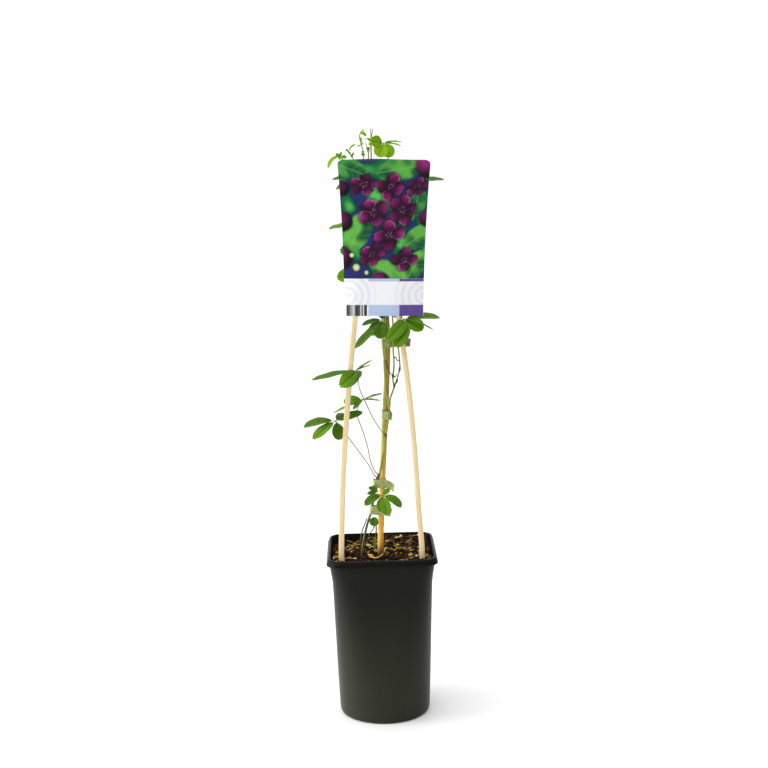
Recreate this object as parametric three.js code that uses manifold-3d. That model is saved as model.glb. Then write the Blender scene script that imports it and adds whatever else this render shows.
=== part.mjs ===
// Potted chocolate vine: a twining plant with five-fingered leaves, tied to a round cane.
// Two split sticks stand at the front of the square-topped pot and carry a printed hood.
// Millimetres, +Z up, the front faces -Y. The origin is the middle of the pot's foot.
import * as THREE from 'three';
import { mergeVertices } from 'three/addons/utils/BufferGeometryUtils.js';
import Module from 'manifold-3d';

const wasm = await Module();
wasm.setup();

const CLEAR = 0.35; // gap kept between pieces that touch

const POT = {
  height: 205.8,
  rimHalf: 66.3,
  lipLean: 1.4, // how much narrower the lip is at its top
  rimTopHalf: 62,
  lip: 7.8,
  footHalf: 55.2,
  neckHalf: 59.4,
  flare: 2.3,
  cornerShare: 0.76,
  wall: 1.8,
  floor: 3.4,
  recess: 1.6,
  holes: 8,
  holeRadius: 4,
  holeCircle: 31,
};

const WALL_HEIGHTS = [8, 60, 115, 150, 178, 197.6];

const SOIL = { level: 200.3, dip: 8, dipAt: [-46, 44], dipSpread: 17, chips: 34, spread: 50, seed: 11 };

const CANE = {
  route: [[-3.4, -23.4, 62], [-1.7, -22, 201], [1.5, -21.3, 268], [6.3, -20.1, 345], [9.5, -19.4, 392],
    [12.5, -18.7, 452], [12.2, -18.2, 486], [10.6, -17.2, 560], [8.2, -16, 655]],
  radius: 3.7,
  topRadius: 3.35,
  joints: 5,
  jointSwell: 0.45,
};

// The two sticks stand in one plane, which leans back so that their tips meet inside the hood.
// Each route gives x and z in that plane from the soil up, and y where the pot's wall bends a foot.
const STICKS = {
  foot: [0, -46.5, 201],
  lean: Math.atan(13.5 / 466),
  width: 6.5,
  depth: 3.4,
  left: [[-40.6, -60, 4.5], [-45.4, -30, 1.3], [-48.1, 1, 0], [-46.9, 39, 0], [-42.9, 108, 0],
    [-37.7, 171, 0], [-31.5, 230, 0], [-24.4, 290, 0], [-14.2, 375, 0], [-3.6, 466, 0]],
  right: [[40.6, -60, 4.5], [45.4, -30, 1.3], [47.8, 1, 0], [44.7, 61, 0], [41.8, 121, 0],
    [37.9, 179, 0], [33.4, 228, 0], [25.9, 289, 0], [14.6, 375, 0], [3.6, 466, 0]],
};

const HOOD = {
  foot: [9.1, 291.3],
  height: 180,
  bottomWidth: 91.6,
  topFlare: 15.7,
  corner: 5.5,
  turn: THREE.MathUtils.degToRad(1.36),
  sheet: 0.7,
  inside: 4,
  seam: 3,
  across: [-1, -0.95, -0.65, -0.4, 0, 0.4, 0.95, 1],
  up: [0, 0.4, 0.7, 0.92, 0.975, 0.992, 0.998, 1],
};

const TIE = { width: 10.5, sheet: 0.7 };
const BLADE = 0.75;
const PETIOLE = 0.7;
const HUB = 1.45;
const STALK = 0.7; // half the width of a leaflet's stalk
const ROOT = 0.45; // how far from the hub's middle a leaflet starts
const LOOK = new THREE.Vector3(0, 0.987, -0.158); // level leaves are seen edge-on along this line

const FINISH = {
  pot: { color: 0x30342b, roughness: 0.5, metalness: 0 },
  soil: { color: 0x35251a, roughness: 0.95, metalness: 0 },
  bark: { color: 0xbe9650, roughness: 0.8, metalness: 0 },
  cane: { color: 0xb08a3c, roughness: 0.55, metalness: 0 },
  stick: { color: 0xe9d2a2, roughness: 0.6, metalness: 0 },
  tape: { color: 0x96aa73, roughness: 0.4, metalness: 0 },
  hood: { color: 0xf0f0f2, roughness: 0.35, metalness: 0 },
  stem: { color: 0x5a6b1e, roughness: 0.6, metalness: 0 },
  leaf: { color: 0x4f8a1e, roughness: 0.5, metalness: 0 },
  youngLeaf: { color: 0x8cb414, roughness: 0.5, metalness: 0 },
};

const vine = new THREE.Group();

function seeded(seed) {
  let state = seed;
  return () => {
    state = (state * 1664525 + 1013904223) % 4294967296;
    return state / 4294967296;
  };
}

function vector(point) {
  return new THREE.Vector3(...point);
}

function smooth(from, to, value) {
  return THREE.MathUtils.smoothstep(value, from, to);
}

function toSolid(geometry) {
  const bare = new THREE.BufferGeometry();
  bare.setAttribute('position', geometry.getAttribute('position'));
  if (geometry.index) bare.setIndex(geometry.index);
  const merged = mergeVertices(bare, 1e-4);
  const vertProperties = merged.getAttribute('position').array;
  const triVerts = new Uint32Array(merged.index.array);
  return new wasm.Manifold(new wasm.Mesh({ numProp: 3, vertProperties, triVerts }));
}

function toGeometry(solid) {
  const { vertProperties, triVerts } = solid.getMesh();
  const geometry = new THREE.BufferGeometry();
  geometry.setAttribute('position', new THREE.BufferAttribute(vertProperties, 3));
  geometry.setIndex(new THREE.BufferAttribute(triVerts, 1));
  geometry.computeVertexNormals();
  return geometry;
}

function joined(solids) {
  return solids.reduce((sum, solid) => sum.add(solid));
}

function addPiece(name, solid, finish, parent = vine) {
  const mesh = new THREE.Mesh(toGeometry(solid), new THREE.MeshStandardMaterial({ ...finish }));
  mesh.name = name;
  parent.add(mesh);
  return mesh;
}

/** The largest body of a solid, without the scraps that a cut leaves loose. */
function largest(solid) {
  return solid.decompose().reduce((best, body) => (body.volume() > best.volume() ? body : best));
}

/** Closed body from a list of points and triangles. */
function bodyFrom(points, faces) {
  const geometry = new THREE.BufferGeometry().setFromPoints(points);
  geometry.setIndex(faces);
  return toSolid(geometry);
}

/** Closed body through rings of equally many points, each end closed by a fan. */
function loft(rings) {
  const count = rings[0].length;
  const points = rings.flat();
  const faces = [];
  for (let start = 0; start + count < points.length; start += count) {
    for (let k = 0; k < count; k += 1) {
      const next = (k + 1) % count;
      faces.push(start + k, start + next, start + count + next);
      faces.push(start + k, start + count + next, start + count + k);
    }
  }
  const lastStart = points.length - count;
  const ends = [rings[0], rings[rings.length - 1]].map((ring) => ring
    .reduce((sum, point) => sum.add(point), new THREE.Vector3()).divideScalar(count));
  const first = points.push(...ends) - 2;
  for (let k = 0; k < count; k += 1) {
    const next = (k + 1) % count;
    faces.push(first, next, k, first + 1, lastStart + k, lastStart + next);
  }
  return bodyFrom(points, faces);
}

/** Sheet through a grid of points; the offset of each row is half its thickness. */
function sheet(rows, offsets) {
  const across = rows[0].length;
  const along = rows.length;
  const flat = rows.flat();
  const points = [1, -1].flatMap((side) => flat.map((point, index) => point.clone()
    .addScaledVector(offsets[Math.floor(index / across)], side)));
  const under = flat.length;
  const faces = [];
  for (let i = 0; i + 1 < along; i += 1) {
    for (let j = 0; j + 1 < across; j += 1) {
      const a = i * across + j;
      const b = a + across;
      faces.push(a, b, a + 1, b, b + 1, a + 1);
      faces.push(under + a, under + a + 1, under + b, under + b, under + a + 1, under + b + 1);
    }
  }
  const edge = [];
  for (let i = 0; i + 1 < along; i += 1) edge.push(i * across);
  for (let j = 0; j + 1 < across; j += 1) edge.push((along - 1) * across + j);
  for (let i = along - 1; i > 0; i -= 1) edge.push(i * across + across - 1);
  for (let j = across - 1; j > 0; j -= 1) edge.push(j);
  edge.forEach((p, index) => {
    const q = edge[(index + 1) % edge.length];
    faces.push(under + p, under + q, q, under + p, q, p);
  });
  return bodyFrom(points, faces);
}

/** Round bar along a route; radiusAt gives the radius at a share of its length. */
function bar(route, radiusAt, sides, steps) {
  const path = new THREE.CatmullRomCurve3(route.map(vector), false, 'centripetal');
  const section = new THREE.Shape();
  for (let k = 0; k < sides; k += 1) {
    const angle = (k / sides) * 2 * Math.PI;
    section[k ? 'lineTo' : 'moveTo'](Math.cos(angle), Math.sin(angle));
  }
  const geometry = new THREE.ExtrudeGeometry(section, { steps, extrudePath: path, bevelEnabled: false });
  const stations = path.getSpacedPoints(steps);
  const position = geometry.getAttribute('position');
  const point = new THREE.Vector3();
  for (let index = 0; index < position.count; index += 1) {
    point.fromBufferAttribute(position, index);
    const gaps = stations.map((station) => station.distanceToSquared(point));
    const nearest = gaps.indexOf(Math.min(...gaps));
    point.sub(stations[nearest]).multiplyScalar(radiusAt(nearest / steps)).add(stations[nearest]);
    position.setXYZ(index, point.x, point.y, point.z);
  }
  return toSolid(geometry);
}

/** Point of a route at a height, for routes that climb all the way. */
function atHeight(route, height) {
  const points = new THREE.CatmullRomCurve3(route.map(vector), false, 'centripetal').getPoints(400);
  const above = points.findIndex((point) => point.z >= height);
  return points[above].toArray();
}

/** Ring of the pot's outline: a square with round corners, or nearly a circle near the foot. */
function potRing(half, z, corner) {
  const ring = [];
  for (let step = 0; step < 20; step += 1) {
    const quarter = Math.floor(step / 5);
    const angle = (quarter + (step % 5) / 4) * (Math.PI / 2);
    const middle = quarter * (Math.PI / 2) + Math.PI / 4;
    const reach = (half - corner) * Math.SQRT2;
    ring.push(new THREE.Vector3(
      reach * Math.cos(middle) + corner * Math.cos(angle),
      reach * Math.sin(middle) + corner * Math.sin(angle),
      z,
    ));
  }
  return ring;
}

function wallHalf(z) {
  const neck = POT.height - POT.lip;
  const share = z / neck;
  return POT.footHalf + (POT.neckHalf - POT.footHalf) * share + POT.flare * smooth(neck - 28, neck, z);
}

function cornerAt(half, z) {
  const share = z / POT.height;
  return Math.min(half * 0.97, half * (1 - POT.cornerShare * Math.pow(share, 1.6)));
}

function wallRing(z, inset) {
  const half = wallHalf(z);
  return potRing(half - inset, z, cornerAt(half, z) - inset);
}

function buildPot() {
  const round = (radius, z) => potRing(radius, z, radius * 0.97);
  const neck = POT.height - POT.lip;
  const lipCorner = POT.rimHalf * (1 - POT.cornerShare);
  const lipTop = POT.rimHalf - POT.lipLean;
  const foot = POT.footHalf;
  const rings = [
    round(16, 0), round(17.5, POT.recess), round(foot - 9, POT.recess), round(foot - 7.6, 0),
    round(foot - 2.6, 0), round(foot - 0.7, 1.2),
    wallRing(3.5, 0),
    ...WALL_HEIGHTS.map((z) => wallRing(z, 0)),
    potRing(POT.rimHalf - 0.5, neck, lipCorner),
    potRing(POT.rimHalf, neck + 0.9, lipCorner),
    potRing(lipTop, POT.height - 0.8, lipCorner),
    potRing(lipTop - 0.7, POT.height, lipCorner),
    potRing(POT.rimTopHalf + 0.6, POT.height, lipCorner - 2.4),
    potRing(POT.rimTopHalf, POT.height - 0.8, lipCorner - 3),
    ...WALL_HEIGHTS.slice().reverse().map((z) => wallRing(z, POT.wall)),
    round(foot - 3.6, POT.floor),
  ];
  const body = loft(rings);
  const holes = Array.from({ length: POT.holes }, (_, index) => {
    const angle = ((index + 0.5) / POT.holes) * 2 * Math.PI;
    const drill = new THREE.CylinderGeometry(POT.holeRadius, POT.holeRadius, 12, 9);
    drill.rotateX(Math.PI / 2);
    drill.translate(POT.holeCircle * Math.cos(angle), POT.holeCircle * Math.sin(angle), POT.recess);
    return toSolid(drill);
  });
  return body.subtract(joined(holes));
}

function soilHeight(x, y) {
  const [dipX, dipY] = SOIL.dipAt;
  const away = ((x - dipX) ** 2 + (y - dipY) ** 2) / (2 * SOIL.dipSpread ** 2);
  const ripple = 0.8 * Math.sin(x * 0.33 + 1) * Math.cos(y * 0.29) + 0.45 * Math.sin(x * 0.8 + y * 0.63);
  return SOIL.level - SOIL.dip * Math.exp(-away) + ripple;
}

/** Bark slivers lying half sunk in the surface, by a seeded rule. */
function soilChips() {
  const random = seeded(SOIL.seed);
  return Array.from({ length: SOIL.chips }, () => {
    const x = (random() * 2 - 1) * SOIL.spread;
    const y = (random() * 2 - 1) * SOIL.spread;
    const chip = new THREE.OctahedronGeometry(1);
    chip.scale(2.6 + 3.4 * random(), 1.1 + 1.1 * random(), 0.9 + 0.5 * random());
    chip.rotateY((random() - 0.5) * 0.7);
    chip.rotateZ(random() * Math.PI);
    chip.translate(x, y, soilHeight(x, y) + 0.25);
    return toSolid(chip);
  });
}

function buildSoil(holes) {
  const gap = POT.wall + CLEAR;
  const edge = wallRing(186, gap);
  const sides = WALL_HEIGHTS.filter((z) => z < 190).map((z) => wallRing(z, gap));
  const base = potRing(POT.footHalf - 4.6, POT.floor + CLEAR, (POT.footHalf - 4.6) * 0.97);
  const top = [1, 0.86, 0.64, 0.42, 0.2].map((share) => edge
    .map(({ x, y }) => new THREE.Vector3(x * share, y * share, soilHeight(x * share, y * share))));
  const ball = loft([base, ...sides, ...top]);
  return largest(joined([ball, ...soilChips()]).subtract(joined(holes)));
}

/** Golden curl of bark lying on the soil in front of the cane. */
function barkCurl() {
  const rows = Array.from({ length: 9 }, (_, index) => {
    const share = index / 8 - 0.5;
    const x = -5 + share * 17;
    const y = -35.5 + 16 * share * share;
    const z = soilHeight(x, y) + 2.5;
    const half = 1.5 * (1 - 2.6 * share * share);
    return [new THREE.Vector3(x, y - half, z - half * 0.4), new THREE.Vector3(x, y + half, z + half * 0.4)];
  });
  return sheet(rows, rows.map(() => new THREE.Vector3(0, 0, 0.5)));
}

function caneBar(extra) {
  const [bottom, ...rest] = CANE.route;
  const route = [[bottom[0], bottom[1], bottom[2] - extra], ...rest];
  const radiusAt = (share) => {
    const taper = CANE.radius + (CANE.topRadius - CANE.radius) * share;
    const joint = Math.max(0, 1 - Math.abs(((share * CANE.joints) % 1) - 0.5) * 14);
    return taper + joint * CANE.jointSwell + extra;
  };
  return bar(route, radiusAt, 9, 30);
}

/** Split stick in its own plane: x across, z up from the soil. */
function stick(route, extra) {
  const [[footX, footZ, footY], ...rest] = route;
  const points = [[footX, footZ - extra, footY], ...rest].map(([x, z, y]) => new THREE.Vector3(x, y, z));
  const path = new THREE.CatmullRomCurve3(points, false, 'centripetal');
  const halfDepth = STICKS.depth / 2 + extra;
  const halfWidth = STICKS.width / 2 + extra;
  const section = new THREE.Shape([
    new THREE.Vector2(-halfDepth, -halfWidth), new THREE.Vector2(halfDepth, -halfWidth),
    new THREE.Vector2(halfDepth, halfWidth), new THREE.Vector2(-halfDepth, halfWidth),
  ]);
  return toSolid(new THREE.ExtrudeGeometry(section, { steps: 20, extrudePath: path, bevelEnabled: false }));
}

/** One of the hood's two nested bodies: a flat pocket, wider at the top, with round top corners. */
function hoodBody(inset, halfDepth, edgeDepth) {
  const columns = HOOD.across.length - 1;
  const levels = HOOD.up.length - 1;
  const box = new THREE.BoxGeometry(columns, 2, levels, columns, 1, levels);
  const position = box.getAttribute('position');
  const below = inset ? 4 : 0;
  const top = HOOD.height - inset;
  for (let index = 0; index < position.count; index += 1) {
    const u = HOOD.across[Math.round(position.getX(index) + columns / 2)];
    const z = HOOD.up[Math.round(position.getZ(index) + levels / 2)] * (top + below) - below;
    const flare = HOOD.topFlare * Math.max(0, z / HOOD.height) ** 2;
    const intoCorner = Math.max(0, HOOD.corner - (top - z));
    const rounding = HOOD.corner - Math.sqrt(Math.max(0, HOOD.corner ** 2 - intoCorner ** 2));
    const half = (HOOD.bottomWidth + flare) / 2 - inset - rounding;
    const overTips = Math.exp(-Math.pow((u + 0.2) / 0.6, 4));
    const fullness = (1 - Math.pow(u, 60)) * Math.max(overTips, smooth(0, 16, top - z));
    const depth = edgeDepth + (halfDepth - edgeDepth) * fullness;
    position.setXYZ(index, u * half, position.getY(index) * depth, z);
  }
  return toSolid(box);
}

function buildHood() {
  const inside = HOOD.inside / 2;
  return hoodBody(0, inside + HOOD.sheet, 0.75).subtract(hoodBody(HOOD.seam, inside, 0.25));
}

/** Band of tape round two circles seen from above, with a loose end that may hang. */
function tapeTie({ z, around, end, tilt }) {
  const [[x1, y1, r1], [x2, y2, r2]] = around;
  const heading = Math.atan2(y2 - y1, x2 - x1);
  const spread = Math.acos((r1 - r2) / Math.hypot(x2 - x1, y2 - y1));
  const belt = (extra) => {
    const outline = new THREE.Shape();
    outline.absarc(x1, y1, r1 + extra, heading + spread, heading - spread + 2 * Math.PI, false);
    outline.absarc(x2, y2, r2 + extra, heading - spread, heading + spread, false);
    return outline;
  };
  const band = (extra, reach) => {
    const options = { depth: TIE.width + 2 * reach, bevelEnabled: false, curveSegments: 5 };
    const geometry = new THREE.ExtrudeGeometry(belt(extra), options);
    geometry.translate(0, 0, z - TIE.width / 2 - reach);
    return toSolid(geometry);
  };
  const rows = end.map(([x, y, drop], index) => {
    const half = TIE.width / 2 - 0.6 * (index > 0);
    return [new THREE.Vector3(x, y, z + half - drop), new THREE.Vector3(x, y, z - half - drop)];
  });
  const offsets = rows.map(() => new THREE.Vector3(0, TIE.sheet * 0.7, 0));
  const loose = sheet(rows.map((row) => row.slice().reverse()), offsets.map((o) => o.clone().negate()));
  const whole = band(CLEAR + TIE.sheet, 0).add(loose).subtract(band(CLEAR, 2));
  const about = new THREE.Matrix4().makeTranslation(x1, y1, z)
    .multiply(new THREE.Matrix4().makeRotationY(tilt))
    .multiply(new THREE.Matrix4().makeTranslation(-x1, -y1, -z));
  return whole.transform(about.elements);
}

// Half outline of a leaflet: share of the length, share of the half width. It starts as a thin stalk.
const OUTLINE = [[0, 0], [0.1, 0], [0.32, 0.8], [0.68, 1], [1, 0.3]];
const SMALL_OUTLINE = [[0, 0], [0.5, 1], [1, 0.34]];
const SMALL = 7.5;
const NOTCH = 0.955;
const FOLD = 0.2;

/** Leaflet from the hub: reach to its tip, width, turn about its rib towards the front, and swing. */
function leaflet(hub, [reach, width, turn, swing = [0, 0, 0]]) {
  const start = vector(hub);
  const along = vector(reach);
  const level = new THREE.Vector3().crossVectors(along, LOOK).normalize();
  if (level.z < 0) level.negate();
  const facing = new THREE.Vector3().crossVectors(along, level).normalize();
  if (facing.dot(LOOK) > 0) facing.negate();
  const angle = THREE.MathUtils.degToRad(turn);
  const up = level.multiplyScalar(Math.cos(angle)).addScaledVector(facing, Math.sin(angle));
  const middle = start.clone().addScaledVector(along, 0.5).add(vector(swing))
    .addScaledVector(up, 0.14 * along.length());
  const rib = new THREE.QuadraticBezierCurve3(start, middle, start.clone().add(along));
  const offsets = [];
  const outline = width < SMALL ? SMALL_OUTLINE : OUTLINE;
  const rows = outline.map(([share, wide], index) => {
    const last = index === outline.length - 1;
    const at = Math.max(share, ROOT / along.length());
    const centre = rib.getPoint(at);
    const tangent = rib.getTangent(at);
    const side = new THREE.Vector3().crossVectors(up, tangent).normalize();
    const normal = new THREE.Vector3().crossVectors(tangent, side);
    const half = Math.max(STALK, (wide * width) / 2);
    const lift = FOLD * half;
    offsets.push(normal.clone().multiplyScalar(BLADE / 2));
    const edge = (sign) => centre.clone().addScaledVector(side, sign * half).addScaledVector(normal, lift);
    return [edge(-1), last ? rib.getPoint(NOTCH) : centre, edge(1)];
  });
  return sheet(rows, offsets);
}

function hubBall(hub) {
  const ball = new THREE.OctahedronGeometry(HUB, 0);
  ball.translate(...hub);
  return toSolid(ball);
}

/** Leaf: a thin petiole from its stem, a small hub and its leaflets, all grown together. */
function leafBody({ petiole, hub, leaflets }) {
  const stalk = bar([...petiole, hub], () => PETIOLE, 4, 1 + petiole.length);
  return joined([stalk, hubBall(hub), ...leaflets.map((spec) => leaflet(hub, spec))]);
}

/** Route round the cane, from heights and angles seen from above; the front is -90 degrees. */
function roundCane(turns, gap) {
  return turns.map(([height, degrees]) => {
    const [x, y] = atHeight(CANE.route, height);
    const angle = THREE.MathUtils.degToRad(degrees);
    return [x + gap * Math.cos(angle), y + gap * Math.sin(angle), height];
  });
}

const STEMS = {
  main_stem: {
    route: [
      [-23.6, -18.6, 172], [-23.9, -19.4, 201], [-18, -20.5, 234], [-14.6, -23, 246], [-11, -25, 257],
      [-8, -27, 277], [-6.2, -27.2, 291], [-1.8, -27.2, 299], [1.1, -27, 309],
      ...roundCane([[326, -100], [344, -80], [361, -60], [379, -45], [391, -75], [406, -100],
        [421, -118], [437, -130], [452, -148], [470, -144], [486, -120], [520, -60], [560, 20], [600, 100],
        [638, 176]], 5.75),
      [0, -17.4, 661], [-1, -18, 673], [-1, -18, 687], [-0.6, -18, 697],
    ],
    radii: [1.55, 0.8],
    steps: 42,
    twigs: [[[-0.7, -18, 695], [-1, -18, 702], [-1.2, -18, 707]],
      [[-0.7, -18, 695], [0.6, -18, 702], [1.6, -18, 706.6]]],
    buds: [
      { hub: [-0.7, -18, 694], leaflets: [[[-8.3, 2, -0.5], 2.6, 30, [0, 0, 2.5]]] },
      { hub: [-0.8, -18, 691], leaflets: [[[-3, 4, 5], 4.5, 60], [[3, -3, 6], 5, 80],
        [[-1, -5, -4], 5, 85]] },
    ],
  },
  side_stem_left: {
    route: [[12.8, -23.6, 379.5], [14, -24.6, 386], [14, -25, 391], [17.2, -25, 400.2], [19.5, -25, 407.3],
      [18.1, -24.6, 413.2], [18.3, -24, 420.3], [19.5, -23.6, 428.5], [19.7, -23.4, 438.7],
      [19, -23.4, 451.7], [19.4, -24.6, 484], [15.5, -27.2, 525], [4.5, -26.6, 568], [-4, -24.6, 608],
      [-6, -22.6, 645], [-4.3, -20.8, 664], [-4.2, -20.8, 674], [-4.4, -20.8, 684]],
    radii: [1.1, 0.75],
    steps: 28,
    twigs: [[[-4.4, -20.8, 682], [-6, -21, 687], [-7, -21, 691]]],
    buds: [{ hub: [-4.4, -20.8, 683], leaflets: [[[-1.8, -2, 2.6], 3.2, 80], [[1.8, -2, 2.4], 3.2, 80],
      [[0, -3, -3], 3.4, 85]] }],
  },
  side_stem_right: {
    route: [[19.4, -25, 407], [22.3, -25.2, 412.3], [24, -25, 419.1], [26.3, -24.6, 427.3],
      [26.3, -24, 438.6], [25.4, -23.8, 451.6], [25.5, -24, 485], [27, -25, 520], [25, -24, 560],
      [20, -21.5, 600], [17.5, -19.6, 640]],
    radii: [1, 0.8],
    steps: 20,
    buds: [{ hub: [17.5, -19.6, 639.4], leaflets: [[[-3, 2, 7], 4, 60]] }],
  },
  basal_shoot_left: {
    route: [[-25.5, 2, 176], [-25.5, 2, 201], [-25, -5, 215], [-22.6, -13, 230], [-19, -19, 240.5],
      [-17.2, -21.4, 246.5]],
    radii: [0.9, 0.7],
    steps: 12,
  },
  basal_shoot_right: {
    route: [[-8, 1, 176], [-8, 2, 201], [-7, -6, 215], [-6, -14, 230], [-6, -20, 241], [-5.8, -23, 247.6]],
    radii: [1, 0.75],
    steps: 12,
  },
};

function stemBar({ route, radii, steps }, extra) {
  return bar(route, (share) => radii[0] + (radii[1] - radii[0]) * share + extra, 5, steps);
}

function buildStem(spec) {
  const { twigs = [], buds = [] } = spec;
  const tips = twigs.map((route) => bar(route, () => PETIOLE, 4, 4));
  const leaves = buds.flatMap(({ hub, leaflets }) => leaflets.map((item) => leaflet(hub, item)));
  return joined([stemBar(spec, 0), ...tips, ...leaves]);
}

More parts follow.
